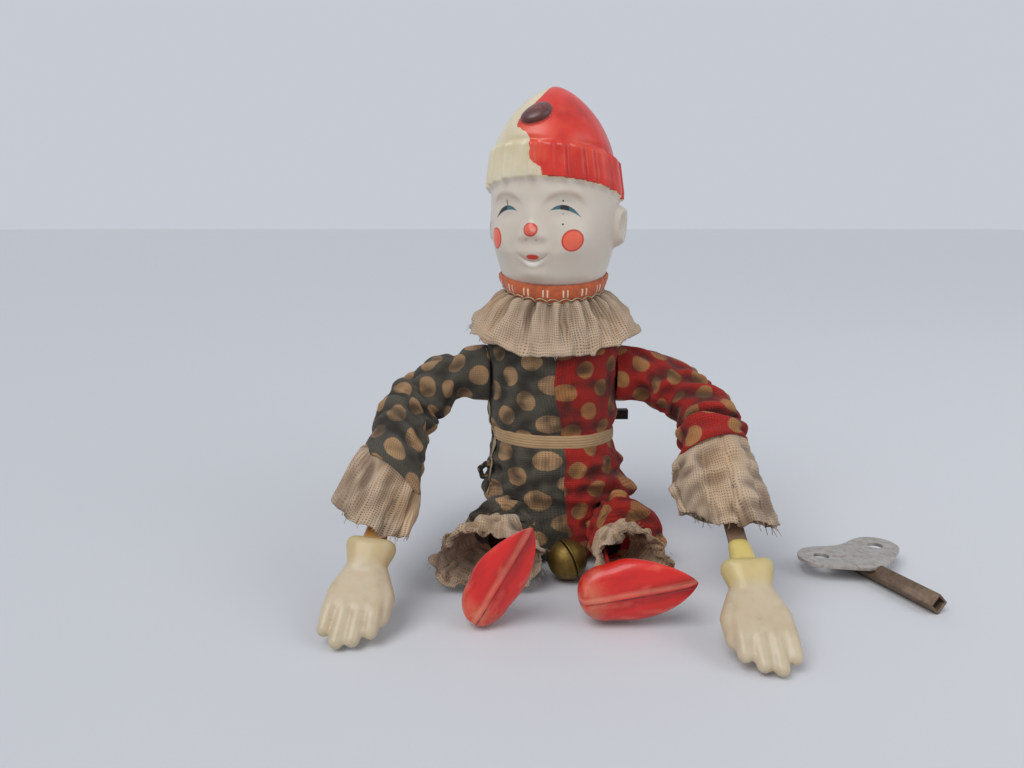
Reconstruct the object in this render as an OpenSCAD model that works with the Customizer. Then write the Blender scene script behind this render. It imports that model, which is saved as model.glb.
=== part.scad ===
// Clockwork tumbling clown: a tin movement in a halved cloth suit, with a celluloid
// head, hands and slippers, a jingle bell and a loose winding key.
// It sits on the floor (z = 0) facing -Y. Left and right are the toy's own,
// so its left side, with the red cloth and the winding square, is on +X.

/* [Casing] */
// Width of the oval tin casing, side to side
casing_w = 33; // [32:0.5:36]
// Depth of the casing, front to back
casing_d = 29; // [28.5:0.5:31]
// Height of the casing's flat top above the floor
casing_top = 62; // [61:0.5:64]
// Thickness of the tin plate
tin = 0.5; // [0.4:0.05:0.7]

/* [Suit] */
// Thickness of the suit cloth with its lining
cloth = 1.0; // [0.8:0.1:1.3]
// Place of the seam between the two cloths, from the middle
seam_x = 2.6; // [1:0.1:4]
// Depth of the folds in the suit
suit_fold = 0.7; // [0.3:0.1:1]
// Height of the middle of the belt tape
belt_z = 36.5; // [35:0.5:38]
// Width of the belt tape
belt_h = 3.6; // [3:0.2:4.4]
// Thickness of the belt tape
belt_t = 0.6; // [0.4:0.1:0.9]
// Height of the suit's neck edge
suit_neck_z = 75; // [74:0.5:76]

/* [Ruff and braid] */
// Reach of the ruff to each side
ruff_side = 25.5; // [23:0.5:26.5]
// Reach of the ruff to the front and back
ruff_front = 21.5; // [20:0.5:24]
// Height of the ruff's hem at the sides
ruff_hem_side = 67; // [66.5:0.5:69]
// Height of the ruff's hem at the front and back
ruff_hem_front = 61.5; // [60:0.5:64]
// Number of pleats in the ruff
ruff_pleats = 20; // [16:1:24]
// Half depth of a pleat at the ruff's hem
ruff_pleat = 0.9; // [0.5:0.1:1.2]
// Thickness of the gauze with its fold
gauze = 0.8; // [0.6:0.1:1]
// Height of the neck braid
braid_h = 3.8; // [3:0.2:4.2]
// Thickness of the neck braid
braid_t = 1.5; // [1.2:0.1:2]
// Number of scallops round the braid
braid_scallops = 32; // [24:1:40]

/* [Head] */
// Turn of the head from straight ahead, towards its right
head_turn = 23; // [0:1:35]
// Radius of the celluloid neck
neck_r = 11.8; // [11:0.1:12.2]
// Height of the neck's lower edge
neck_z = 71; // [70:0.5:72]
// Height of the chin line, where the neck meets the jaw
chin_z = 80.5; // [80:0.1:82]
// Half width of the head at the cheeks
head_half_w = 18.2; // [17:0.1:19]
// Half depth of the face, front to middle
face_d = 17.2; // [16:0.1:18.5]
// Height of the cap's lower edge
cap_z = 107; // [105:0.5:109]
// Height of the cap's ribbed band
band_h = 9.5; // [8:0.5:11]
// Stand of the band over the brow
band_out = 1; // [0.6:0.1:1.5]
// Height of the cap's tip above the floor
cap_top = 134.5; // [130:0.5:138]
// Rise of the cap's edge at the brow, and its drop behind
cap_tilt = 2.8; // [1:0.2:3.2]
// Wall of the celluloid
celluloid = 1.2; // [0.9:0.1:1.4]

/* [Arms] */
// Height of the arm axle
axle_z = 53.5; // [53:0.1:54.5]
// Radius of the arm axle
axle_r = 1.25; // [1.1:0.05:1.4]
// Width of the arm and leg strips
strip_w = 4.6; // [4:0.1:5]
// Thickness of the arm and leg strips
strip_t = 0.8; // [0.6:0.05:1]
// Distance from the middle to the right arm's bend
reach_right = 38; // [37:0.5:42]
// Distance from the middle to the left arm's bend
reach_left = 41; // [40.5:0.5:44]
// Outward lean of the right forearm
lean_right = 9; // [4:0.5:12]
// Outward lean of the left forearm
lean_left = 2.5; // [2:0.5:8]
// Radius of the sleeves
sleeve_r = 8; // [7.4:0.1:8.2]
// Depth of the sleeve's bunched folds
sleeve_fold = 0.7; // [0.4:0.1:0.9]
// Distance from the axle to the sleeve's hem
sleeve_end = 42; // [40:0.5:44]
// Length of the gauze wrist frills
cuff_len = 14; // [11:0.5:15]
// Radius of the wrist frills at the hem
cuff_r = 9.6; // [8.8:0.1:10]
// Number of pleats in a wrist or ankle frill
frill_pleats = 10; // [8:1:12]
// Half depth of a frill's pleats at the hem
frill_pleat = 0.8; // [0.4:0.1:0.9]

/* [Hands] */
// Distance from the axle to the right gauntlet's rim
hand_seat_right = 59; // [58:0.5:62]
// Distance from the axle to the left gauntlet's rim
hand_seat_left = 67; // [64:0.5:69]
// Length of a hand from the gauntlet's rim to the middle fingertip's centre
hand_reach = 25; // [22:0.5:27]
// Radius of the gauntlet's rim
gauntlet_r = 6.3; // [5.6:0.1:6.8]
// Radius of the stem that the arm strip goes into
stem_r = 3.4; // [3.2:0.1:3.8]
// Length of the stem above the gauntlet
stem_len = 7; // [5:0.5:8]
// Distance between neighbouring fingers
finger_pitch = 3.3; // [3:0.1:3.6]
// Radius of a fingertip
finger_r = 1.8; // [1.6:0.1:2]

/* [Legs] */
// Forward offset of the hip wire from the middle
hip_fwd = 3; // [2:0.5:4]
// Height of the hip wire
hip_z = 9; // [8.8:0.1:9.6]
// Radius of the hip wire
hip_wire_r = 1.0; // [0.8:0.05:1.2]
// Distance of each leg strip from the middle
hip_x = 12.8; // [12.4:0.1:13.2]
// Distance from the hip wire to the ankle
leg_len = 44; // [43:0.5:48]
// Outward splay of the right leg
splay_right = 6; // [3:0.5:8]
// Inward splay of the left leg
splay_left = 0; // [0:0.5:1]
// Radius of the ankle pin
ankle_pin_r = 1.0; // [0.8:0.05:1.2]
// Distance from the hip wire to the trouser hem
trouser_end = 25; // [23:0.5:26]
// Half height of the trouser legs
trouser_half_h = 8.2; // [7.6:0.1:8.4]
// Length of the gauze ankle frills
frill_len = 14; // [11:0.5:14.5]

/* [Slippers] */
// Length of a slipper from the ankle to the toe
toe_len = 19.5; // [18:0.5:21]
// Radius of the slipper's heel outline
heel_r = 6.4; // [6:0.1:6.6]
// Half width of the slipper at the ball
ball_half_w = 8; // [7.2:0.1:8.4]
// Height of the slipper from sole to ankle
shoe_h = 10; // [9:0.5:12]
// Turn of the right toe from upright, towards the toy's left
toe_turn_right = 30; // [20:1:35]
// Turn of the left toe from upright, outwards
toe_turn_left = 80; // [70:1:85]
// Radius of the ankle nub
nub_r = 3.4; // [3:0.1:3.8]

/* [Movement] */
// Distance of each side plate's inner face from the middle
plate_x = 9.2; // [9:0.1:9.6]
// Thickness of the side plates
plate_t = 0.8; // [0.6:0.1:1]
// Teeth of the great wheel
great_teeth = 36; // [34:2:38]
// Leaves of the arm pinion and of the second pinion
pinion_teeth = 12; // [11:1:13]
// Tooth module of the great wheel and its pinions
great_module = 0.55; // [0.53:0.005:0.56]
// Teeth of the second wheel
second_teeth = 30; // [28:2:32]
// Leaves of the escape pinion
escape_leaves = 10; // [10:1:11]
// Tooth module of the second wheel and the escape pinion
second_module = 0.45; // [0.43:0.005:0.46]
// Teeth of the escape wheel
escape_teeth = 15; // [12:1:18]
// Radius of the escape wheel over its points
escape_r = 5; // [4.5:0.1:5.2]
// Thickness of the wheels
wheel_t = 0.9; // [0.7:0.1:1]
// Radius of the winding arbor
arbor_r = 1.6; // [1.5:0.05:1.7]
// Side of the winding square
square_w = 2.8; // [2.6:0.05:2.9]
// How far the winding square stands out of the suit
square_out = 4.5; // [3.5:0.5:5]
// Radius of the thin arbors
pivot_r = 0.7; // [0.6:0.05:0.8]
// Width of the mainspring
spring_w = 6; // [5:0.5:6.4]
// Outer radius of the wound mainspring
spring_r = 9; // [8:0.1:9.4]
// Thickness of the mainspring strip
spring_t = 0.4; // [0.3:0.05:0.5]
// Turns of the mainspring
spring_turns = 6; // [5:1:7]

/* [Bell] */
// Radius of the bell
bell_r = 5.5; // [5:0.1:5.6]
// Wall of the bell
bell_wall = 0.5; // [0.4:0.05:0.7]
// Stand of the rolled seam between the bell's halves
bell_seam = 0.5; // [0.3:0.05:0.6]
// Width of the bell's sound slot
bell_slot = 1.2; // [1:0.1:1.5]
// Radius of the bell's wire loop, to the middle of the wire
loop_r = 1.5; // [1.4:0.1:1.8]
// Radius of the loop wire and the staple wire
loop_wire_r = 0.4; // [0.35:0.05:0.45]
// Radius of the pellet in the bell
pellet_r = 1.5; // [1:0.1:2]

/* [Key] */
// Distance between the two holes of the key's wing
key_hole_pitch = 20; // [18:0.5:22]
// Radius of those holes
key_hole_r = 2.2; // [1.6:0.1:2.5]
// Radius of the wing's lobes
key_lobe_r = 6.4; // [5.5:0.1:7]
// Thickness of the wing
key_wing_t = 1.1; // [0.9:0.1:1.3]
// Length of the key's shank
key_shank_len = 29; // [25:0.5:32]
// Half of the folded shank across its rounded corners
key_shank_r = 2.8; // [2.7:0.05:3]
// Clearance of the socket round the winding square
key_play = 0.2; // [0.15:0.05:0.25]
// Depth of the square socket
key_socket_len = 12; // [9:0.5:14]

/* [Fits] */
// Space between pieces that move past each other
gap = 0.3; // [0.25:0.05:0.4]
// Running clearance on a radius
run = 0.05; // [0.03:0.01:0.08]
// Space between pieces that are fixed together
seat = 0.05; // [0.02:0.01:0.08]

/* [Hidden] */
$fn = 48;
big = 200;

// Colours, as the photograph shows them
tin_grey = [0.62, 0.6, 0.56];
brass = [0.62, 0.5, 0.26];
steel = [0.56, 0.55, 0.53];
grey_cloth = [0.31, 0.29, 0.25];
red_cloth = [0.66, 0.1, 0.06];
gauze_tan = [0.74, 0.63, 0.5];
celluloid_cream = [0.86, 0.82, 0.72];
celluloid_red = [0.9, 0.27, 0.18];
braid_orange = [0.78, 0.36, 0.16];

// Casing and suit outlines: ovals of two half rounds and a straight stretch
oval_half = (casing_w - casing_d) / 2;
casing_r = casing_d / 2;
suit_in_r = casing_r + gap;
suit_r = suit_in_r + cloth;
suit_half_w = oval_half + suit_r;
casing_floor = cloth + seat;
hip_y = -hip_fwd;
// The seat's front is round about the hip wire, so that the trousers swing past it
seat_r = norm([suit_r + hip_y, hip_z]);
suit_neck_r = neck_r + gap + cloth;
trouser_start = seat_r + gap;
square_hole_r = square_w / sqrt(2) + gap;

// Strip ends, arm angles and hand places
axle_half = suit_half_w + 3;
strip_in = axle_half - 2;
fingertip_drop = finger_r + gap;
function arm_angle(seat_at, lean) = acos((axle_z - fingertip_drop) / ((seat_at + hand_reach) * cos(lean)));
angle_right = arm_angle(hand_seat_right, lean_right);
angle_left = arm_angle(hand_seat_left, lean_left);
strip_into_hand = stem_len - 1;
elbow_r = sleeve_r + sleeve_fold + gap;
sleeve_wall = 1.4;
sleeve_start = suit_half_w + suit_fold;

// Arbor places in the side plates, as [y, z]
gear_far = great_module * (great_teeth + pinion_teeth) / 2;
train_far = second_module * (second_teeth + escape_leaves) / 2;
verge_far = escape_r + 3;
arbor_y = 2;
second_y = -1.5;
escape_y = 1;
verge_y = 7.5;
function below(from, y, far) = [y, from.y - sqrt(far * far - (y - from.x) * (y - from.x))];
axle_at = [0, axle_z];
arbor_at = below(axle_at, arbor_y, gear_far);
second_at = below(arbor_at, second_y, gear_far);
escape_at = below(second_at, escape_y, train_far);
verge_at = below(escape_at, verge_y, verge_far);
pillar_r = 1.1;
pillars_at = [[-7.3, 57], [8, 57.5], [-7.3, 15], [8, 24]];

// Places of the wheels along the arbors
wheel_gap = 0.4;
pinion_over = 0.7;
pinion_t = wheel_t + 2 * pinion_over;
great_x = -0.8;
ratchet_x = great_x + wheel_t + wheel_gap;
spring_x = ratchet_x + wheel_t + wheel_gap;
pinion_x = great_x - pinion_over;
second_x = pinion_x - wheel_t - 3 * wheel_gap;
escape_pinion_x = second_x - pinion_over;
escape_x = escape_pinion_x - wheel_t - wheel_gap;
// How far the arbors reach past the side plates
pivot_past = 0.4;

// Bell place: lying in front of the seat between the frills, its loop towards the suit
bell_x = 3.2;
bell_z = bell_r + bell_seam + gap;
// The loop's inside bears on the staple's bar, and its outside swings clear of the suit
bar_in_loop = loop_r - 2 * loop_wire_r - run;
bar_y = -suit_front(bell_z) - loop_r - loop_wire_r + bar_in_loop - gap;
loop_out = bell_r + loop_r + loop_wire_r - 0.8 * bell_wall;
bell_y = bar_y - bar_in_loop - loop_out;

// Key place: flat on the floor beside the toy's left hand
key_at = [84.5, -19.2];
key_turn = 22;
key_waist = 4.4;
key_wing_in = 9;
key_fold_t = 0.6;

// Faces of a skin of rings, counted from point number "from"; flip turns the skin inside out
function quad(a, b, c, d, flip) = flip ? [[a, c, d], [a, b, c]] : [[a, d, c], [a, c, b]];
function skin(rings, m, from = 0, flip = false) = [
  for (i = [0:rings - 2], j = [0:m - 1])
    each quad(from + i * m + j, from + i * m + (j + 1) % m, from + (i + 1) * m + (j + 1) % m,
      from + (i + 1) * m + j, flip)
];
function rim(a, b, m, flip) = [
  for (j = [0:m - 1])
    each flip ? [[a + (j + 1) % m, a + j, b + j], [a + (j + 1) % m, b + j, b + (j + 1) % m]]
      : [[a + j, a + (j + 1) % m, b + (j + 1) % m], [a + j, b + (j + 1) % m, b + j]]
];
function fan(from, m, flip) = [
  for (j = [1:m - 2])
    flip ? [from, from + j + 1, from + j] : [from, from + j, from + j + 1]
];
function joined(lists) = [for (a = lists) each a];

// Solid through a row of rings, closed at both ends
module loft(rings) {
  m = len(rings[0]);
  n = len(rings);
  polyhedron(joined(rings), concat(fan(0, m, false), skin(n, m), fan((n - 1) * m, m, true)));
}

// Open tube between an outer and an inner row of rings
module tube(outer, inner) {
  m = len(outer[0]);
  n = len(outer);
  k = len(inner);
  polyhedron(
    concat(joined(outer), joined(inner)),
    concat(
      skin(n, m), skin(k, m, n * m, true), rim(0, n * m, m, false),
      rim((n - 1) * m, (n + k - 1) * m, m, true)
    )
  );
}

// Hollow form, open at its first ring and closed at its last
module hollow(outer, inner) {
  m = len(outer[0]);
  n = len(outer);
  k = len(inner);
  polyhedron(
    concat(joined(outer), joined(inner)),
    concat(
      skin(n, m), fan((n - 1) * m, m, true), skin(k, m, n * m, true),
      fan((n + k - 1) * m, m, false), rim(0, n * m, m, false)
    )
  );
}

// Round bar along X at [y, z]
module rod_x(at, r, x0, x1) {
  translate([x0, at.x, at.y])
    rotate([0, 90, 0])
      cylinder(r = r, h = x1 - x0);
}

// Plate of a flat outline drawn in Y and Z, from x0 along X
module plate_x_of(x0, t) {
  translate([x0, 0, 0])
    rotate([90, 0, 90])
      linear_extrude(t)
        children();
}

module oval(r) {
  for (s = [-1, 1])
    translate([s * oval_half, 0])
      circle(r);
  square([2 * oval_half, 2 * r], center = true);
}

// Slot that a leg strip swings in, through the casing and the suit
module leg_slots() {
  slot_top = hip_z + strip_w + (suit_r + hip_y) * tan(16);
  half = strip_t / 2 + 2 * gap;
  for (leg = [[hip_x, splay_left], [-hip_x, splay_right]]) {
    drift = seat_r * tan(leg[1]);
    translate([leg[0] - drift - half, -big / 2, -1])
      cube([drift + 2 * half, big / 2 + hip_y + strip_w / 2 + 3 * gap, slot_top + 1]);
  }
}

module casing() {
  difference() {
    translate([0, 0, casing_floor])
      linear_extrude(casing_top - casing_floor)
        oval(casing_r);
    translate([0, 0, casing_floor + tin])
      linear_extrude(casing_top - casing_floor - 2 * tin)
        oval(casing_r - tin);
    leg_slots();
    rod_x([hip_y, hip_z], hip_wire_r + seat, -big, big);
    rod_x(axle_at, axle_r + gap, -big, big);
    rod_x(arbor_at, square_hole_r, 0, big);
  }
}

module half_space(s) {
  translate([-big / 2, s > 0 ? 0 : -big, -big / 2])
    cube([big, big, big]);
}

module casing_front() {
  color(tin_grey)
    intersection() {
      casing();
      half_space(-1);
    }
}

module casing_back() {
  color(tin_grey)
    intersection() {
      casing();
      half_space(1);
    }
}

// Side plate with its pivot holes; it stands on the casing's floor, under its top
module side_plate(x0) {
  low = casing_floor + tin;
  high = casing_top - tin;
  depth = sqrt((casing_r - tin) ^ 2 - (plate_x + plate_t - oval_half) ^ 2) - seat;
  color(tin_grey)
    difference() {
      plate_x_of(x0, plate_t)
        translate([-depth, low])
          square([2 * depth, high - low]);
      rod_x([hip_y, hip_z], hip_wire_r + seat, -big, big);
      rod_x(axle_at, axle_r + run, -big, big);
      rod_x(arbor_at, arbor_r + run, -big, big);
      for (at = [second_at, escape_at, verge_at])
        rod_x(at, pivot_r + run, -big, big);
      leg_slot_notch(depth);
    }
}

// The plate's lower front corner is cut away for the swinging leg strips' eyes
module leg_slot_notch(depth) {
  notch = depth + hip_y - hip_wire_r - 2;
  translate([-big / 2, -depth - 1, 0])
    cube([big, notch + 1, hip_z + 2]);
}

module side_plate_left() {
  side_plate(plate_x);
}

module side_plate_right() {
  side_plate(-plate_x - plate_t);
}

module plate_pillars() {
  color(brass)
    for (at = pillars_at)
      rod_x(at, pillar_r, -plate_x, plate_x);
}

// Points of the mainspring's spiral at one edge, with the tail to its post
spring_in_r = arbor_r + 0.4;
spring_steps = 24;
tail_turn = 60;
function spiral_at(k) = spring_in_r + (spring_r - spring_in_r) * k / (spring_turns * spring_steps);
function spiral_edge(off) = [
  for (k = [0:spring_turns * spring_steps])
    let (a = tail_turn + 360 * k / spring_steps)
      arbor_at + (spiral_at(k) + off) * [cos(a), sin(a)]
];
function spring_tail() =
  let (post = pillars_at[1], out = [cos(tail_turn), sin(tail_turn)], across = [-out.y, out.x])
    [post - (pillar_r + seat) * [0, 1] - spring_t / 2 * across,
     post - (pillar_r + seat) * [0, 1] + spring_t / 2 * across];
function reversed(list) = [for (i = [len(list) - 1:-1:0]) list[i]];

module mainspring() {
  tail = spring_tail();
  color(steel)
    plate_x_of(spring_x, spring_w)
      polygon(concat(spiral_edge(spring_t / 2), [tail[0], tail[1]], reversed(spiral_edge(-spring_t / 2))));
}

// Flanged tin tube on the casing's top; the head's bush sits on its shoulder
spigot_r = 6;
shoulder_r = 9;
flange_t = 0.8;
spigot_up = 9;
spigot_top = neck_z + spigot_up;

module neck_spigot() {
  color(tin_grey)
    rotate_extrude()
      polygon([
        [spigot_r - 1, casing_top], [suit_neck_r - cloth - 2, casing_top],
        [suit_neck_r - cloth - 2, casing_top + flange_t], [shoulder_r, casing_top + flange_t],
        [shoulder_r, neck_z], [spigot_r, neck_z], [spigot_r, spigot_top], [spigot_r - 1, spigot_top]
      ]);
}

// Wire across the casing that both legs hang on, ending flush inside the suit
hip_wire_half = oval_half + sqrt(suit_in_r ^ 2 - hip_fwd ^ 2) - hip_wire_r * 0.3;

module hip_wire() {
  color(steel)
    rod_x([hip_y, hip_z], hip_wire_r, -hip_wire_half, hip_wire_half);
}

// Suit: rings of the oval, drawn in at the belt and the neck, with shallow folds between
suit_points = 32;
belt_low = belt_z - belt_h / 2 - 0.6;
belt_high = belt_z + belt_h / 2 + 0.6;
suit_levels = [
  0, hip_z * 0.5, hip_z, hip_z * 1.5, hip_z * 2, (2 * hip_z + belt_low) / 2, belt_low - 2, belt_low,
  belt_high, belt_high + 3, (belt_high + casing_top) / 2 - 2, (belt_high + casing_top) / 2 + 3,
  casing_top - 3, casing_top + 1, (casing_top + suit_neck_z) / 2, suit_neck_z - 3, suit_neck_z
];
// How far the folds are let out at each level, 0 where the suit lies flat
suit_ease = [0, 0, 0, 0, 0, 1, 1, 0, 0, 0.8, 1, 1, 0.5, 0, 0, 0, 0];
function suit_front(z) = hip_fwd + sqrt(seat_r ^ 2 - min(seat_r, z - hip_z) ^ 2);
function suit_ring(i) =
  let (z = suit_levels[i], up = max(0, (z - casing_top - 1) / (suit_neck_z - casing_top - 1)))
    [for (j = [0:suit_points - 1])
      let (
        a = 360 * (j + 0.5) / suit_points,
        fold = suit_ease[i] * suit_fold * cos(a * 5 + i * 70) * cos(a * 2 + i * 40),
        r = suit_r + (suit_neck_r - suit_r) * sqrt(up) + fold,
        front = z < 2 * hip_z && sin(a) < 0 ? suit_front(z) / suit_r : 1,
        half = oval_half * (1 - sqrt(up))
      )
        [half * sign(cos(a)) + r * cos(a), r * sin(a) * front, z]];

module suit() {
  difference() {
    loft([for (i = [0:len(suit_levels) - 1]) suit_ring(i)]);
    translate([0, 0, cloth])
      linear_extrude(casing_top + gap - cloth)
        oval(suit_in_r);
    translate([0, 0, casing_top])
      cylinder(r = suit_neck_r - cloth, h = big);
    leg_slots();
    rod_x(axle_at, axle_r + gap, -big, big);
    rod_x(arbor_at, square_hole_r, 0, big);
  }
}

module suit_grey() {
  color(grey_cloth)
    intersection() {
      suit();
      translate([seam_x - big, -big / 2, -big / 2])
        cube(big);
    }
}

module suit_red() {
  color(red_cloth)
    intersection() {
      suit();
      translate([seam_x, -big / 2, -big / 2])
        cube(big);
    }
}

module belt() {
  color([0.72, 0.6, 0.44])
    translate([0, 0, belt_z - belt_h / 2])
      linear_extrude(belt_h)
        difference() {
          oval(suit_r + seat + belt_t);
          oval(suit_r + seat);
        }
}

// Ruff: a pleated gauze cone from the neck edge to a hem that hangs lower in front and behind
ruff_rows = 5;
ruff_points = 4 * ruff_pleats;
ruff_top_r = suit_neck_r + seat + gauze / 2;
function ruff_ring(i, off) =
  let (s = i / (ruff_rows - 1), top = suit_neck_z - seat)
    [for (j = [0:ruff_points - 1])
      let (
        a = 360 * j / ruff_points,
        hem = 1 / norm([cos(a) / ruff_side, sin(a) / ruff_front]),
        mid = (ruff_hem_side + ruff_hem_front) / 2,
        low = mid + (ruff_hem_side - ruff_hem_front) / 2 * cos(2 * a),
        r = ruff_top_r + (hem - ruff_top_r) * s ^ 0.9 + ruff_pleat * s * cos(ruff_pleats * a) + off
      )
        [r * cos(a), r * sin(a), top + (low - top) * s ^ 1.15]];

module ruff() {
  color(gauze_tan)
    tube(
      [for (i = [ruff_rows - 1:-1:0]) ruff_ring(i, gauze / 2)],
      [for (i = [ruff_rows - 1:-1:0]) ruff_ring(i, -gauze / 2)]
    );
}

// Braid: a scalloped band that stands on the ruff's gathered edge
braid_r = neck_r + gap + 0.3;
braid_z = suit_neck_z + seat;
function scallop_points(r, n, depth, m) = [
  for (j = [0:m - 1])
    let (a = 360 * j / m)
      (r + depth * abs(cos(n * a / 2))) * [cos(a), sin(a)]
];

module neck_braid() {
  color(braid_orange)
    translate([0, 0, braid_z])
      linear_extrude(braid_h)
        difference() {
          polygon(scallop_points(braid_r + braid_t, braid_scallops, 0.5, 4 * braid_scallops));
          circle(braid_r);
        }
}

// Bent wire staple in the suit's front that carries the bell's loop
staple_half = loop_r + loop_wire_r;
staple_foot = loop_r + loop_wire_r + gap;

module bell_staple() {
  color(steel)
    difference() {
      union() {
        rod_x([bar_y, bell_z], loop_wire_r, bell_x - staple_half, bell_x + staple_half);
        for (s = [-1, 1])
          translate([bell_x + s * staple_half, bar_y, bell_z]) {
            sphere(loop_wire_r);
            rotate([-90, 0, 0])
              cylinder(r = loop_wire_r, h = staple_foot);
          }
      }
      rod_x([hip_y, hip_z], seat_r + seat, -big, big);
    }
}

// Spur gear outline with involute flanks; thin teeth leave backlash
tooth_angle = 25;
tooth_up = 0.8;
tooth_down = 1.15;
tooth_thin = 0.84;
function involute(a) = tan(a) * 180 / PI - a;
function half_tooth(n, m, r) =
  let (base = n * m / 2 * cos(tooth_angle), a = acos(base / max(r, base)))
    90 / n * tooth_thin + involute(tooth_angle) - involute(a);
function tooth_radii(n, m) =
  let (pitch = n * m / 2, root = pitch - tooth_down * m, tip = pitch + tooth_up * m)
    [root, max(root + 0.01, pitch * cos(tooth_angle)), pitch, (pitch + tip) / 2, tip];
function gear_points(n, m, turn) = [
  for (k = [0:n - 1], s = [-1, 1], i = [0:4])
    let (
      r = tooth_radii(n, m)[s < 0 ? i : 4 - i],
      a = turn + 360 / n * k + s * half_tooth(n, m, r)
    )
      r * [cos(a), sin(a)]
];
// Turn of a gear that meshes with another whose own turn is given
function heading(from, to) = atan2(to.y - from.y, to.x - from.x);
function meshed(from, from_n, from_turn, to, to_n) =
  let (h = heading(from, to))
    h + 180 + 180 / to_n - (from_turn - h) * from_n / to_n;
great_turn = 0;
axle_turn = meshed(arbor_at, great_teeth, great_turn, axle_at, pinion_teeth);
second_turn = meshed(arbor_at, great_teeth, great_turn, second_at, pinion_teeth);
escape_turn = meshed(second_at, second_teeth, second_turn, escape_at, escape_leaves);

module gear(at, n, m, turn, x0, t, bore) {
  difference() {
    plate_x_of(x0, t)
      translate(at)
        polygon(gear_points(n, m, turn));
    rod_x(at, bore, -big, big);
  }
}

module arm_axle() {
  color(steel)
    difference() {
      rod_x(axle_at, axle_r, -axle_half, axle_half);
      arm_slit(-1, angle_right);
      arm_slit(1, angle_left);
    }
}

// Slit in the axle's end that an arm strip is riveted into
module arm_slit(side, angle) {
  arm_place(side, angle)
    translate([strip_in - seat, -strip_t / 2 - seat, -big / 2])
      cube([big, strip_t + 2 * seat, big]);
}

module arm_pinion() {
  color(brass)
    gear(axle_at, pinion_teeth, great_module, axle_turn, pinion_x, pinion_t, axle_r + seat);
}

// Frame of an arm: x outwards along the axle, z down the arm, y to the back of the hand
module arm_place(side, angle) {
  translate([0, 0, axle_z])
    mirror([side < 0 ? 1 : 0, 0, 0])
      rotate([180 - angle, 0, 0])
        children();
}

// Frame of a forearm, from the bend, turned out by its lean
module forearm(side, angle, reach, lean) {
  arm_place(side, angle)
    translate([reach, 0, 0])
      rotate([0, lean, 0])
        children();
}

// Flat tin blank of an arm: a short leg along the axle and a long one down the sleeve
module arm_strip(side, angle, reach, lean, seat_at) {
  arm_place(side, angle)
    rotate([-90, 0, 0])
      translate([0, 0, -strip_t / 2])
        linear_extrude(strip_t) {
          translate([strip_in, -strip_w / 2])
            square([reach - strip_in, strip_w]);
          translate([reach, 0]) {
            circle(strip_w / 2);
            rotate(lean)
              translate([-strip_w / 2, -(seat_at - stem_len + strip_into_hand)])
                square([strip_w, seat_at - stem_len + strip_into_hand]);
          }
        }
}

module arm_strip_left() {
  color([0.66, 0.56, 0.42])
    arm_strip(1, angle_left, reach_left, lean_left, hand_seat_left);
}

module arm_strip_right() {
  color([0.66, 0.56, 0.42])
    arm_strip(-1, angle_right, reach_right, lean_right, hand_seat_right);
}

// Middle line of a sleeve in the arm's frame, as [x, z, heading], through n stations
sleeve_points = 16;
sleeve_rings = 11;
function sleeve_line(reach, lean, i) =
  let (
    turn = 90 - lean,
    x_arc = reach + elbow_r * (1 - sin(lean)) * tan(lean) - elbow_r * cos(lean),
    flat = x_arc - sleeve_start,
    arc = elbow_r * turn * PI / 180,
    down = sleeve_end / cos(lean) - elbow_r * (1 - sin(lean)) / cos(lean),
    s = (flat + arc + down) * i / (sleeve_rings - 1),
    a = min(turn, max(0, (s - flat) / elbow_r * 180 / PI)),
    past = max(0, s - flat - arc)
  )
    [sleeve_start + min(s, flat) + elbow_r * sin(a) + past * cos(turn),
     elbow_r * (1 - cos(a)) + past * sin(turn), a];
function sleeve_ring(reach, lean, i, r, fold) =
  let (c = sleeve_line(reach, lean, i), way = i % 2 == 0 ? 1 : -1)
    [for (j = [0:sleeve_points - 1])
      let (
        t = 360 * j / sleeve_points,
        ease = i == 0 || i == sleeve_rings - 1 ? 0 : way * fold * (0.6 + 0.4 * cos(2 * t + 50 * i)),
        p = (r + ease) * cos(t)
      )
        [c.x + p * sin(c.z), (r + ease) * sin(t), c.y - p * cos(c.z)]];

module sleeve(side, angle, reach, lean) {
  rows = [0:sleeve_rings - 1];
  arm_place(side, angle)
    tube(
      [for (i = rows) sleeve_ring(reach, lean, i, sleeve_r, sleeve_fold)],
      [for (i = rows) sleeve_ring(reach, lean, i, sleeve_r - sleeve_wall, sleeve_fold * 0.5)]
    );
}

module sleeve_left() {
  color(red_cloth)
    sleeve(1, angle_left, reach_left, lean_left);
}

module sleeve_right() {
  color(grey_cloth)
    sleeve(-1, angle_right, reach_right, lean_right);
}

// Pleated frill along z: rows of [z, x, half width, half height], pleats growing to the hem
frill_rows = 5;
function frill_ring(z, x, a, b, pleat, off) = [
  for (j = [0:4 * frill_pleats - 1])
    let (t = 90 * j / frill_pleats, f = pleat * cos(90 * j) + off)
      [x + (a + f) * cos(t), (b + f) * sin(t), z]
];

module frill(from, to) {
  steps = [for (i = [0:frill_rows - 1]) i / (frill_rows - 1)];
  rows = [for (s = steps) let (r = from + (to - from) * s) [r[0], r[1], r[2], r[3], frill_pleat * s]];
  tube(
    [for (r = rows) frill_ring(r[0], r[1], r[2], r[3], r[4], 0)],
    [for (r = rows) frill_ring(r[0], r[1], r[2], r[3], r[4], -gauze)]
  );
}

module cuff(side, angle, reach, lean) {
  first = sleeve_end / cos(lean) + seat;
  color(gauze_tan)
    forearm(side, angle, reach, lean)
      frill([first, 0, sleeve_r - 0.5, sleeve_r - 0.5], [first + cuff_len, 0, cuff_r, cuff_r]);
}

module cuff_left() {
  cuff(1, angle_left, reach_left, lean_left);
}

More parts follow.
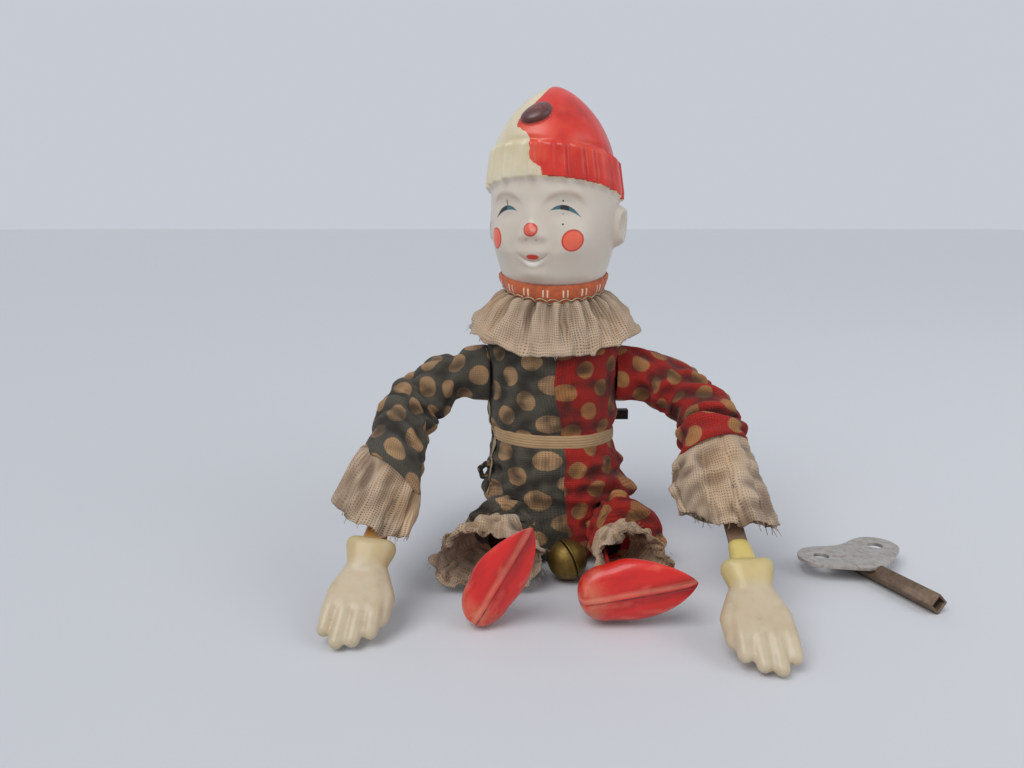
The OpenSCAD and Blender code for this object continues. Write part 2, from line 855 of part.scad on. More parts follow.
module cuff_right() {
  cuff(-1, angle_right, reach_right, lean_right);
}

// Hand: gauntlet, palm, four fingers and a thumb; z runs to the fingertips, y to the back
palm_from = 5;
palm_to = 13;
finger_lengths = [0.86, 0.96, 1, 0.9];
module ball(at, r) {
  translate(at)
    sphere(r, $fn = 10);
}

module bone(a, ra, b, rb) {
  hull() {
    ball(a, ra);
    ball(b, rb);
  }
}

module palm() {
  half = 1.5 * finger_pitch;
  hull()
    for (s = [-1, 1]) {
      ball([s * (half - 1.5), 0, palm_from], finger_r + 1.2);
      ball([s * half, 0.4, palm_to], finger_r + 0.5);
    }
}

// Flared cuff of three soft lobes round the wrist
module gauntlet() {
  lobe_r = gauntlet_r / 2;
  for (a = [35, 145, 270]) {
    rim_at = polar(gauntlet_r - lobe_r, a);
    bone([0, 0, palm_from], finger_r + 1.8, [rim_at.x, rim_at.y, 1], lobe_r);
  }
}

module hand_form() {
  half = 1.5 * finger_pitch;
  rise = 2 * finger_r;
  palm();
  for (k = [0:3]) {
    x = (k - 1.5) * finger_pitch;
    bend = [x * 1.05, 0.9, (palm_to + hand_reach) / 2];
    bone([x, 0.4, palm_to], finger_r + 0.4, bend, finger_r + 0.2);
    bone(bend, finger_r + 0.2, [x * 1.1, 0, hand_reach * finger_lengths[k]], finger_r);
  }
  bone([-half + 1, -0.6, palm_from + 2], finger_r + 0.6, [-half - 2.6, -0.6, palm_to], finger_r + 0.2);
  bone([-half - 2.6, -0.6, palm_to], finger_r + 0.2, [-half - 2.2, -1, palm_to + rise + 1], finger_r);
}

module hand(side, angle, reach, lean, seat_at) {
  forearm(side, angle, reach, lean)
    translate([0, 0, seat_at])
      difference() {
        union() {
          hand_form();
          translate([0, 0, -stem_len])
            cylinder(r = stem_r, h = stem_len + 3, $fn = 20);
          gauntlet();
        }
        translate([0, 0, -stem_len])
          cube([strip_w + 2 * seat, strip_t + 2 * seat, 2 * (strip_into_hand + seat)], center = true);
      }
}

module hand_left() {
  color(celluloid_cream)
    hand(1, angle_left, reach_left, lean_left, hand_seat_left);
}

module hand_right() {
  color(celluloid_cream)
    hand(-1, angle_right, reach_right, lean_right, hand_seat_right);
}

module great_wheel() {
  color(brass) {
    gear(arbor_at, great_teeth, great_module, great_turn, great_x, wheel_t, arbor_r + run);
    rod_x(click_at, click_rivet_r, great_x + wheel_t, ratchet_x + click_t + gap);
  }
}

// Ratchet on the arbor, and the spring click on the great wheel that drops behind its teeth
ratchet_teeth = 10;
ratchet_tip = 5;
ratchet_root = 3.9;
click_rivet_r = 0.6;
click_turn = -42;
click_far = 8;
click_t = 0.5;
function polar(r, a) = r * [cos(a), sin(a)];
click_at = arbor_at + polar(click_far, click_turn);

module ratchet_wheel() {
  step = 360 / ratchet_teeth;
  color(steel)
    difference() {
      plate_x_of(ratchet_x, wheel_t)
        translate(arbor_at)
          polygon([
            for (k = [0:ratchet_teeth - 1])
              each [polar(ratchet_root, k * step), polar(ratchet_tip, k * step + 1)]
          ]);
      rod_x(arbor_at, arbor_r + seat, -big, big);
    }
}

module click_spring() {
  nose_r = 0.3;
  color(steel)
    difference() {
      plate_x_of(ratchet_x, click_t)
        hull() {
          translate(arbor_at + polar(ratchet_root + nose_r + gap, -6))
            circle(nose_r, $fn = 16);
          translate(click_at)
            circle(2 * click_rivet_r, $fn = 24);
        }
      rod_x(click_at, click_rivet_r + seat, -big, big);
    }
}

square_end = suit_half_w + suit_fold + square_out;
square_start = plate_x + plate_t + 2;
pivot_end = plate_x + plate_t + pivot_past;

module winding_arbor() {
  color([0.16, 0.15, 0.14]) {
    rod_x(arbor_at, arbor_r, -pivot_end, square_start);
    translate([square_start, arbor_at.x - square_w / 2, arbor_at.y - square_w / 2])
      cube([square_end - square_start, square_w, square_w]);
  }
}

module thin_arbor(at) {
  color(steel)
    rod_x(at, pivot_r, -pivot_end, pivot_end);
}

module second_arbor() {
  thin_arbor(second_at);
}

module second_pinion() {
  color(brass)
    gear(second_at, pinion_teeth, great_module, second_turn, pinion_x, pinion_t, pivot_r + seat);
}

module second_wheel() {
  color(brass)
    gear(second_at, second_teeth, second_module, second_turn, second_x, wheel_t, pivot_r + seat);
}

module escape_arbor() {
  thin_arbor(escape_at);
}

module escape_pinion() {
  color(brass)
    gear(escape_at, escape_leaves, second_module, escape_turn, escape_pinion_x, pinion_t, pivot_r + seat);
}

// Star wheel with raked points
escape_root = escape_r - 1.6;
escape_rake = 0.35;

module escape_wheel() {
  step = 360 / escape_teeth;
  color(brass)
    difference() {
      plate_x_of(escape_x, wheel_t)
        translate(escape_at)
          polygon([
            for (k = [0:escape_teeth - 1])
              each [polar(escape_root, k * step), polar(escape_r, (k + escape_rake) * step)]
          ]);
      rod_x(escape_at, pivot_r + seat, -big, big);
    }
}

module verge_arbor() {
  thin_arbor(verge_at);
}

// Verge: a rocking plate whose two pallets straddle the star wheel, just clear of its points
verge_hub_r = 1.6;
verge_bar_x = 0.6;
verge_bar_w = 1;
pallet_half = 4.6;
pallet_w = 0.8;
pallet_len = 2.2;

module verge() {
  h = heading(verge_at, escape_at);
  color(steel)
    difference() {
      plate_x_of(escape_x, wheel_t)
        translate(verge_at)
          rotate(h)
            difference() {
              union() {
                circle(verge_hub_r);
                translate([verge_bar_x, -pallet_half])
                  square([verge_bar_w, 2 * pallet_half]);
                for (s = [-1, 1])
                  translate([verge_bar_x, s * (pallet_half - pallet_w / 2) - pallet_w / 2])
                    square([pallet_len, pallet_w]);
              }
              translate([verge_far, 0])
                circle(escape_r + 2 * gap);
            }
      rod_x(verge_at, pivot_r + seat, -big, big);
    }
}

// Head: rows of [height, half width, half depth in front, half depth behind, share of the cap's tilt]
head_points = 60;
band_top = cap_z + band_h;
cap_r = head_half_w - 1.6;
cap_h = cap_top - band_top;
jaw_h = cap_z - chin_z;
function jaw_row(s) =
  let (grow = sin(min(90, 38 + 75 * s)) ^ 2, wide = neck_r + (head_half_w - neck_r) * grow)
    [chin_z + jaw_h * s, wide, neck_r + (face_d - neck_r) * min(1, grow * 1.25), wide, s ^ 4];
function cap_row(s) =
  let (g = (1 - s ^ 1.4) ^ 0.7)
    [band_top + 0.8 + (cap_h - 0.8) * s, cap_r * g, cap_r * 0.96 * g, cap_r * g, 1 - s];
function band_row(z, out) = [z, head_half_w + out, face_d + out, head_half_w + out, 1];
head_rows = concat(
  [[neck_z, neck_r, neck_r, neck_r, 0], [chin_z - 0.6, neck_r, neck_r, neck_r, 0]],
  [for (s = [0.04, 0.12, 0.24, 0.36, 0.48, 0.6, 0.74, 0.88, 0.98]) jaw_row(s)],
  [band_row(cap_z, band_out * 0.3), band_row(cap_z + 1.2, band_out), band_row(cap_z + band_h / 2, band_out),
   band_row(band_top - 1, band_out * 0.6), band_row(band_top, -0.4)],
  [for (s = [0, 0.2, 0.4, 0.58, 0.74, 0.87, 0.95, 0.99]) cap_row(s)]
);
// Modelled features: [angle from the face, height, swell, angular reach, height reach]
nose_up = 15;
nose_z = chin_z + nose_up;
features = [
  [0, nose_z, 2.4, 8, 2.4], [-34, nose_z - 3, 0.9, 14, 4], [34, nose_z - 3, 0.9, 14, 4],
  [-22, nose_z + 5, -0.5, 9, 2.4], [22, nose_z + 5, -0.5, 9, 2.4], [-20, nose_z + 9, 0.6, 12, 2],
  [20, nose_z + 9, 0.6, 12, 2], [0, chin_z + 3.4, 0.9, 16, 2.4], [94, nose_z + 1, 2.2, 7, 4.5],
  [-94, nose_z + 1, 2.2, 7, 4.5], [4, band_top + 9, 2.2, 13, 2.4]
];
function turn_to(a) = a > 180 ? a - 360 : a;
function swell(a, z, k = 0) = k == len(features) ? 0
  : let (f = features[k], u = turn_to(a) - f[0], v = z - f[1])
    f[2] * exp(-(u * u) / (f[3] * f[3]) - (v * v) / (f[4] * f[4])) + swell(a, z, k + 1);
function head_ring(row, wall, plain) = [
  for (j = [0:head_points - 1])
    let (
      a = 360 * j / head_points,
      on_band = row[0] > cap_z && row[0] < band_top - 0.5 && !plain,
      rib = on_band ? (j % 2 == 0 ? 0.25 : -0.25) : 0,
      out = plain ? -wall : swell(a, row[0]) + rib,
      deep = cos(a) > 0 ? row[2] : row[3]
    )
      [(row[1] + out) * sin(a), -(deep + out) * cos(a), row[0] + cap_tilt * row[4] * cos(a)]
];
inner_rows = concat(
  [[neck_z, neck_r, neck_r, neck_r, 0], [chin_z, neck_r, neck_r, neck_r, 0]],
  [for (s = [0.2, 0.4, 0.7, 1]) jaw_row(s)],
  [for (s = [0, 0.4, 0.7]) cap_row(s)]
);

module head() {
  color(celluloid_cream)
    rotate([0, 0, -head_turn])
      hollow(
        [for (r = head_rows) head_ring(r, 0, false)],
        [for (r = inner_rows) head_ring(r, celluloid, true)]
      );
}

// Bush glued in the neck; it turns on the spigot and rests on its shoulder
bush_h = 5;

module neck_bush() {
  color([0.7, 0.58, 0.42])
    translate([0, 0, neck_z + seat])
      difference() {
        cylinder(r = neck_r * cos(180 / head_points) - celluloid - seat, h = bush_h);
        translate([0, 0, -1])
          cylinder(r = spigot_r + run, h = bush_h + 2);
      }
}

// Frame of the legs: x across, y up from the hip wire, z forward from it
module leg_place() {
  translate([0, hip_y, hip_z])
    rotate([90, 0, 0])
      children();
}

// Leg strip with its eye on the hip wire and its round ankle pin
eye_r = 2.8;
pin_len = 7.5;
pin_root = 3;
pin_bare = 2.2;
function ankle_x(side, splay) = side * hip_x + leg_len * tan(splay);

module leg_strip(side, splay) {
  shift = leg_len * tan(splay);
  last = leg_len - pin_bare;
  color(celluloid_red)
    difference() {
      leg_place()
        translate([side * hip_x, 0, 0]) {
          rotate([0, 90, 0])
            cylinder(r = eye_r, h = strip_t, center = true);
          rotate([0, splay, 0]) {
            translate([-strip_t / 2, -strip_w / 2, 0])
              cube([strip_t, strip_w, last / cos(splay)]);
          }
          translate([shift, 0, last - pin_root])
            cylinder(r = ankle_pin_r, h = pin_len + 1);
        }
      rod_x([hip_y, hip_z], hip_wire_r + run, -big, big);
    }
}

module leg_strip_left() {
  leg_strip(1, -splay_left);
}

module leg_strip_right() {
  leg_strip(-1, -splay_right);
}

// Trouser leg: a short bunched tube whose upper edge lies round the seat
trouser_points = 18;
trouser_rows = 5;
trouser_wall = 1.2;
function trouser_ring(x, half_w, half_h, i) = [
  for (j = [0:trouser_points - 1])
    let (
      t = 360 * j / trouser_points,
      s = i / (trouser_rows - 1),
      ends = i == 0 || i == trouser_rows - 1,
      bunch = ends ? 0 : (i % 2 == 0 ? 0.15 : -0.5) * (1 + cos(3 * t + 90 * i)) / 2,
      y = (half_h + bunch) * sin(t),
      first = sqrt(trouser_start ^ 2 - y * y)
    )
      [x + (half_w + bunch) * cos(t), y, first + (trouser_end - first) * s]
];

module trouser(x, half_w) {
  rows = [0:trouser_rows - 1];
  leg_place()
    tube(
      [for (i = rows) trouser_ring(x, half_w, trouser_half_h, i)],
      [for (i = rows) trouser_ring(x, half_w - trouser_wall, trouser_half_h - trouser_wall, i)]
    );
}

// Trouser places keep clear of the bell on the inside and of the turning arms on the outside
leg_clear = gap + 0.2;
leg_top_r = axle_z - hip_z - trouser_half_h;
function arm_inside(reach, lean) =
  reach + leg_top_r * tan(lean) - max(sleeve_r + sleeve_fold, cuff_r + frill_pleat) - 2 * gap;
left_in = bell_x + bell_r + bell_seam + leg_clear;
left_out = arm_inside(reach_left, lean_left);
right_in = bell_x - bell_r - bell_seam - leg_clear;
right_out = -arm_inside(reach_right, lean_right);
trouser_bulge = 3.6;
left_trouser_x = (left_in + left_out - trouser_bulge) / 2;
left_trouser_w = (left_out - trouser_bulge - left_in) / 2;
right_trouser_w = left_trouser_w;
right_trouser_off = 1.6;
right_trouser_x = right_in - right_trouser_w - right_trouser_off;

module trouser_left() {
  color(red_cloth)
    trouser(left_trouser_x, left_trouser_w);
}

module trouser_right() {
  color(grey_cloth)
    trouser(right_trouser_x, right_trouser_w);
}

module ankle_frill(x0, w0, x1, w1) {
  hem_h = hip_z - gap - frill_pleat;
  first = trouser_end + seat;
  color(gauze_tan)
    leg_place()
      frill([first, x0, w0 - 0.8, trouser_half_h - 0.8], [first + frill_len, x1, w1, hem_h]);
}

module frill_left() {
  half = (left_out - left_in) / 2 - frill_pleat;
  ankle_frill(left_trouser_x, left_trouser_w, (left_in + left_out) / 2, half);
}

module frill_right() {
  half = (right_in - right_out) / 2 - frill_pleat;
  ankle_frill(right_trouser_x, right_trouser_w, (right_in + right_out) / 2, half);
}

// Slipper: sections from heel to toe; x across, y to the toe, z from the sole to the ankle
shoe_points = 20;
heel_back = 2.4;
shoe_stations = [0.01, 0.05, 0.12, 0.22, 0.34, 0.46, 0.58, 0.7, 0.8, 0.89, 0.96, 1];
function shoe_half_w(s) =
  let (y = -heel_back - heel_r + (toe_len + heel_back + heel_r) * s, ball_y = 5)
    y < -heel_back ? sqrt(max(0.2, heel_r ^ 2 - (y + heel_back) ^ 2))
    : y < ball_y ? heel_r + (ball_half_w - heel_r) * sin(90 * (y + heel_back) / (ball_y + heel_back)) ^ 2
    : 0.5 + (ball_half_w - 0.5) * cos(90 * (y - ball_y) / (toe_len - ball_y)) ^ 0.8;
function shoe_top(s) = shoe_h * (s < 0.4 ? 0.86 - 0.1 * s : 0.82 - 0.66 * sin(90 * (s - 0.4) / 0.6) ^ 1.3);
function shoe_ring(s) =
  let (w = shoe_half_w(s), top = shoe_top(s), low = 1.4 * s ^ 4, y = -heel_back - heel_r)
    [for (j = [0:shoe_points - 1])
      let (
        t = 360 * j / shoe_points,
        c = sign(cos(t)) * abs(cos(t)) ^ 0.7,
        d = sign(sin(t)) * abs(sin(t)) ^ 0.7,
        ridge = j == shoe_points / 4 || j == 3 * shoe_points / 4 ? 0.2 : 0
      )
        [-w * c, y + (toe_len - y) * s, -shoe_h + low + (top - low) / 2 * (1 + d) + ridge * sign(d)]];

module shoe_form() {
  difference() {
    union() {
      loft([for (s = shoe_stations) shoe_ring(s)]);
      translate([0, 0, -shoe_h / 2])
        cylinder(r = nub_r, h = shoe_h / 2 + 1.4);
    }
    translate([0, 0, -pin_len + 1.2])
      cylinder(r = ankle_pin_r + run, h = big);
  }
}

module shoe(side, splay, turn) {
  translate([ankle_x(side, splay), hip_y - leg_len, hip_z])
    rotate([0, turn, 0])
      rotate([90, 0, 180])
        shoe_form();
}

module shoe_left() {
  color(celluloid_red)
    shoe(1, -splay_left, toe_turn_left);
}

module shoe_right() {
  color(celluloid_red)
    shoe(-1, -splay_right, toe_turn_right);
}

// Bell: two pressed halves that meet in a rolled seam, the front one slotted
module bell_place() {
  translate([bell_x, bell_y, bell_z])
    rotate([-90, 0, 0])
      children();
}

module bell_half(up) {
  mirror([0, 0, up ? 0 : 1])
    difference() {
      union() {
        sphere(bell_r);
        cylinder(r = bell_r + bell_seam, h = bell_wall);
      }
      sphere(bell_r - bell_wall);
      translate([-big / 2, -big / 2, -big])
        cube([big, big, big]);
    }
}

module bell_upper() {
  color(brass)
    bell_place() {
      bell_half(true);
      translate([0, 0, loop_out])
        rotate([0, 90, 0])
          rotate_extrude()
            translate([loop_r, 0])
              circle(loop_wire_r);
    }
}

module bell_lower() {
  eye = bell_slot * 0.9;
  reach = bell_r * 0.62;
  color(brass)
    bell_place()
      difference() {
        bell_half(false);
        translate([-bell_slot / 2, -reach, -big])
          cube([bell_slot, 2 * reach, big]);
        for (s = [-1, 1])
          translate([0, s * reach, -big])
            cylinder(r = eye, h = big);
      }
}

module bell_pellet() {
  color(steel)
    translate([bell_x, bell_y, bell_z - bell_r + bell_wall + pellet_r + gap])
      sphere(pellet_r);
}

// Key: a two-lobed wing let into a slit in a tube with a square socket
module key_place() {
  translate([key_at.x, key_at.y, key_shank_r])
    rotate([0, 0, key_turn])
      children();
}

module key_wing() {
  half = key_hole_pitch / 2;
  color(steel)
    key_place()
      difference() {
        translate([0, 0, -key_wing_t / 2])
          linear_extrude(key_wing_t)
            union() {
              for (s = [-1, 1])
                translate([s * half, 0])
                  circle(key_lobe_r);
              square([2 * half, 2 * key_waist], center = true);
            }
        for (s = [-1, 1])
          translate([s * half, 0, -big / 2])
            cylinder(r = key_hole_r, h = big);
      }
}

module key_shank() {
  socket = square_w + key_play;
  color(steel)
    key_place()
      rotate([90, 0, 0])
        difference() {
          translate([0, 0, key_waist - key_wing_in])
            linear_extrude(key_shank_len)
              intersection() {
                circle(key_shank_r);
                rotate(45)
                  square(socket + 2 * key_fold_t, center = true);
              }
          translate([0, 0, key_waist - key_wing_in + key_shank_len - key_socket_len])
            rotate(45)
              translate([-socket / 2, -socket / 2, 0])
                cube([socket, socket, big]);
          translate([-big / 2, -key_wing_t / 2 - seat, -big + key_waist + seat])
            cube([big, key_wing_t + 2 * seat, big]);
        }
}

casing_front();
casing_back();
side_plate_left();
side_plate_right();
plate_pillars();
mainspring();
neck_spigot();
hip_wire();
suit_grey();
suit_red();
belt();
ruff();
neck_braid();
bell_staple();
arm_axle();
arm_pinion();
arm_strip_left();
arm_strip_right();
sleeve_left();
sleeve_right();
cuff_left();
cuff_right();
hand_left();
hand_right();
great_wheel();
click_spring();
winding_arbor();
ratchet_wheel();
second_arbor();
second_pinion();
second_wheel();
escape_arbor();
escape_pinion();
escape_wheel();
verge_arbor();
verge();
head();
neck_bush();
leg_strip_left();
leg_strip_right();
trouser_left();
trouser_right();
frill_left();
frill_right();
shoe_left();
shoe_right();
bell_upper();
bell_lower();
bell_pellet();
key_wing();
key_shank();
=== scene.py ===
# %% [markdown]
# # Dressing a clockwork tumbling clown
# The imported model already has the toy's movement, joints and plain solids. This lesson gives it its
# looks: a printed cloth suit in two colours, gauze frills, a painted celluloid head, hands and slippers,
# a brass bell and a steel key. Every piece is made in metres, where the solids say that it is.

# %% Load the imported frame
import math

import bpy
import numpy as np
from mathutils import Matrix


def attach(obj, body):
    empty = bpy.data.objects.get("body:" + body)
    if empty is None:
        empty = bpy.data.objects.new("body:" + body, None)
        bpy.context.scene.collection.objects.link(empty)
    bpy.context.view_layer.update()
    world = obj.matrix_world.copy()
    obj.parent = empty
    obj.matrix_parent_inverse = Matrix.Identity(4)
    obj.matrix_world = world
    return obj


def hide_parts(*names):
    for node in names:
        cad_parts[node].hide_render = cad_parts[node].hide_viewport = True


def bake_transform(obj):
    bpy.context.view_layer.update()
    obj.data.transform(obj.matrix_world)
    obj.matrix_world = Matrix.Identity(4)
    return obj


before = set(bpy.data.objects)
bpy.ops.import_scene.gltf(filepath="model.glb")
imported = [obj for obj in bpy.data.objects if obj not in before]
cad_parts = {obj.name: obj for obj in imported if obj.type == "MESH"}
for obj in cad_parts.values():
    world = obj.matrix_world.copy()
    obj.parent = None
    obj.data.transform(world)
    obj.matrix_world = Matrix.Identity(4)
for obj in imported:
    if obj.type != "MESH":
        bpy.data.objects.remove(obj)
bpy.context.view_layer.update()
MM = 0.001
TAU = 2 * math.pi

# %% [markdown]
# The camera comes first, because every later choice is judged through it. It was solved from the
# photograph: a short lens close to the toy, a little above its head, looking 11.5 degrees down.

# %% Camera
bpy.ops.object.camera_add(location=(-0.0121, -0.2346, 0.0978), rotation=(math.radians(78.5), 0, 0))
camera = bpy.context.object
camera.data.sensor_width = 36
camera.data.lens = 28.125
camera.data.clip_start = 0.01
bpy.context.scene.camera = camera
print("camera", camera.data.lens, "mm lens")

# %% [markdown]
# A few small helpers keep the cells below short. Operators act on all that is selected, so each helper
# deselects first. Points are read and written as arrays, which is the quick way to shape cloth by a
# formula.

# %% Helpers for points
def cos_sin(degrees):
    turn = math.radians(degrees)
    return math.cos(turn), math.sin(turn)


def deselect():
    if bpy.context.mode != "OBJECT":
        bpy.ops.object.mode_set(mode="OBJECT")
    bpy.ops.object.select_all(action="DESELECT")


def pick(obj):
    deselect()
    obj.select_set(True)
    bpy.context.view_layer.objects.active = obj


def add(operator, **settings):
    """Run an operator that makes an object, and give that object."""
    deselect()
    operator(**settings)
    return bpy.context.object


def points(obj):
    flat = np.empty(len(obj.data.vertices) * 3, np.float32)
    obj.data.vertices.foreach_get("co", flat)
    return flat.reshape(-1, 3).astype(float)


def set_points(obj, places):
    obj.data.vertices.foreach_set("co", np.asarray(places, np.float32).ravel())
    obj.data.update()


def put(obj, x, y, z):
    """Lay out the points from millimetres."""
    set_points(obj, np.stack([x, y, z], 1) * MM)


def stay_above(obj, low):
    """Lift the points that would lie lower than a height in millimetres."""
    shape = points(obj)
    shape[:, 2] = np.maximum(shape[:, 2], low * MM)
    set_points(obj, shape)


def corner_uv(obj):
    """The map's place at each corner of a face, and the point that the corner belongs to."""
    layer = obj.data.uv_layers[0].data
    uv = np.empty(len(layer) * 2, np.float32)
    layer.foreach_get("uv", uv)
    corner = np.empty(len(obj.data.loops), np.int32)
    obj.data.loops.foreach_get("vertex_index", corner)
    return uv.reshape(-1, 2).astype(float), corner


def set_corner_uv(obj, uv):
    obj.data.uv_layers[0].data.foreach_set("uv", uv.astype(np.float32).ravel())


def point_uv(obj):
    uv, corner = corner_uv(obj)
    spot = np.zeros((len(obj.data.vertices), 2))
    spot[corner] = uv
    return spot


print("point helpers ready")

# %% [markdown]
# The next helpers wrap the operators that shape a mesh: modifiers are applied at once, edit mode is
# entered and left in one place, and the last helper turns a mesh into a piece that rides on a body of the
# toy.

# %% Helpers for operators
def apply(obj, kind, **settings):
    pick(obj)
    modifier = obj.modifiers.new(kind.title(), kind)
    for key, value in settings.items():
        setattr(modifier, key, value)
    bpy.ops.object.modifier_apply(modifier=modifier.name)


def smoother(obj):
    apply(obj, "SUBSURF", levels=1, render_levels=1)


def thick(obj, wall):
    apply(obj, "SOLIDIFY", thickness=wall * MM, offset=0)


def in_edit(obj, *steps):
    pick(obj)
    bpy.ops.object.mode_set(mode="EDIT")
    bpy.ops.mesh.select_all(action="SELECT")
    for act in steps:
        act()
    bpy.ops.object.mode_set(mode="OBJECT")


def delete_faces(obj, drop):
    in_edit(obj, lambda: bpy.ops.mesh.select_mode(type="FACE"),
            lambda: bpy.ops.mesh.select_all(action="DESELECT"))
    obj.data.polygons.foreach_set("select", drop)
    bpy.ops.object.mode_set(mode="EDIT")
    bpy.ops.mesh.delete(type="FACE")
    bpy.ops.mesh.select_mode(type="VERT")
    bpy.ops.object.mode_set(mode="OBJECT")


def weld():
    bpy.ops.mesh.remove_doubles(threshold=0.000002)


def face_out():
    bpy.ops.mesh.normals_make_consistent(inside=False)


def slice_mesh(normal, *places):
    """Cut through the whole mesh at each place. Both sides of a cut are kept."""
    for place in places:
        bpy.ops.mesh.select_all(action="SELECT")
        bpy.ops.mesh.bisect(plane_co=place, plane_no=normal)


def join(name, objs):
    deselect()
    for obj in objs:
        obj.select_set(True)
    bpy.context.view_layer.objects.active = objs[0]
    bpy.ops.object.join()
    joined = bpy.context.object
    joined.name = name
    pick(joined)
    bpy.ops.object.transform_apply(location=True, rotation=True, scale=True)
    return joined


def finish_piece(obj, name, body, finish, nodes=()):
    pick(obj)
    bpy.ops.object.transform_apply(location=True, rotation=True, scale=True)
    obj.name = name
    obj.data.materials.clear()
    obj.data.materials.append(finish)
    bpy.ops.object.shade_smooth()
    if body:
        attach(obj, body)
    if nodes:
        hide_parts(*nodes)
    print(name, len(obj.data.polygons), "faces")
    return obj


print("operator helpers ready")

# %% [markdown]
# Finishes are built from nodes. `Field` lets a value that varies over the surface be written as plain
# arithmetic: each sum or product becomes one Math node.

# %% Fields
class Field:
    def __init__(self, tree, socket):
        self.tree = tree
        self.socket = socket

    def math(self, operation, *others):
        node = self.tree.nodes.new("ShaderNodeMath")
        node.operation = operation
        for socket, value in zip(node.inputs, (self,) + others):
            if isinstance(value, Field):
                self.tree.links.new(value.socket, socket)
            else:
                socket.default_value = value
        return Field(self.tree, node.outputs[0])

    def __add__(self, other):
        return self.math("ADD", other)

    def __sub__(self, other):
        return self.math("SUBTRACT", other)

    def __mul__(self, other):
        return self.math("MULTIPLY", other)

    def __pow__(self, other):
        return self.math("POWER", other)

    def __abs__(self):
        return self.math("ABSOLUTE")

    def least(self, other):
        return self.math("MINIMUM", other)

    def most(self, other):
        return self.math("MAXIMUM", other)

    def held(self, top):
        """The value kept between 0 and top."""
        return self.most(0.0).least(top)

    def repeat(self, pitch, shift=0.0):
        return ((self * (1 / pitch) + shift).math("FRACT") - 0.5) * pitch

    def ridge(self, pitch):
        return abs((self * (math.pi / pitch)).math("SINE"))

    def far(self, other):
        return (self * self + other * other).math("SQRT")

    def curve(self, stops):
        """A smooth line through a few (in, out) stops."""
        (low, high), (least, most) = [(min(side), max(side)) for side in zip(*stops)]
        node = self.tree.nodes.new("ShaderNodeFloatCurve")
        line = node.mapping.curves[0]
        spots = [((x - low) / (high - low), (y - least) / (most - least)) for x, y in stops]
        line.points[0].location, line.points[1].location = spots[0], spots[-1]
        for x, y in spots[1:-1]:
            line.points.new(x, y)
        node.mapping.update()
        self.tree.links.new(((self - low) * (1 / (high - low))).socket, node.inputs["Value"])
        return Field(self.tree, node.outputs[0]) * (most - least) + least

    def within(self, edge, blur):
        """1 below the edge, 0 above it, with a soft step between."""
        node = self.tree.nodes.new("ShaderNodeMapRange")
        node.interpolation_type = "SMOOTHSTEP"
        for name, value in (("From Min", -blur), ("From Max", blur), ("To Min", 1), ("To Max", 0)):
            node.inputs[name].default_value = value
        self.tree.links.new((self - edge).socket, node.inputs["Value"])
        return Field(self.tree, node.outputs[0])


def near(field, line, half, blur):
    """1 close to a line, 0 further off than half."""
    return abs(field - line).within(half, blur)


print("fields ready")

# %% [markdown]
# A finish starts as one plain colour, and every dye, stain or scratch, and the painted shade and highlights
# too, is laid over it by a field. A pattern on cloth reads the piece's own UV map, which is in metres of the
# flat cut, so that one print fits every piece. The rest reads Object coordinates.

# %% Finishes
def paint(red, green, blue):
    """A colour as the eye reads it, 0 to 255, made linear for the shader."""
    return tuple((c / 12.92 if c < 0.04045 else ((c + 0.055) / 1.055) ** 2.4)
                 for c in (red / 255, green / 255, blue / 255)) + (1,)


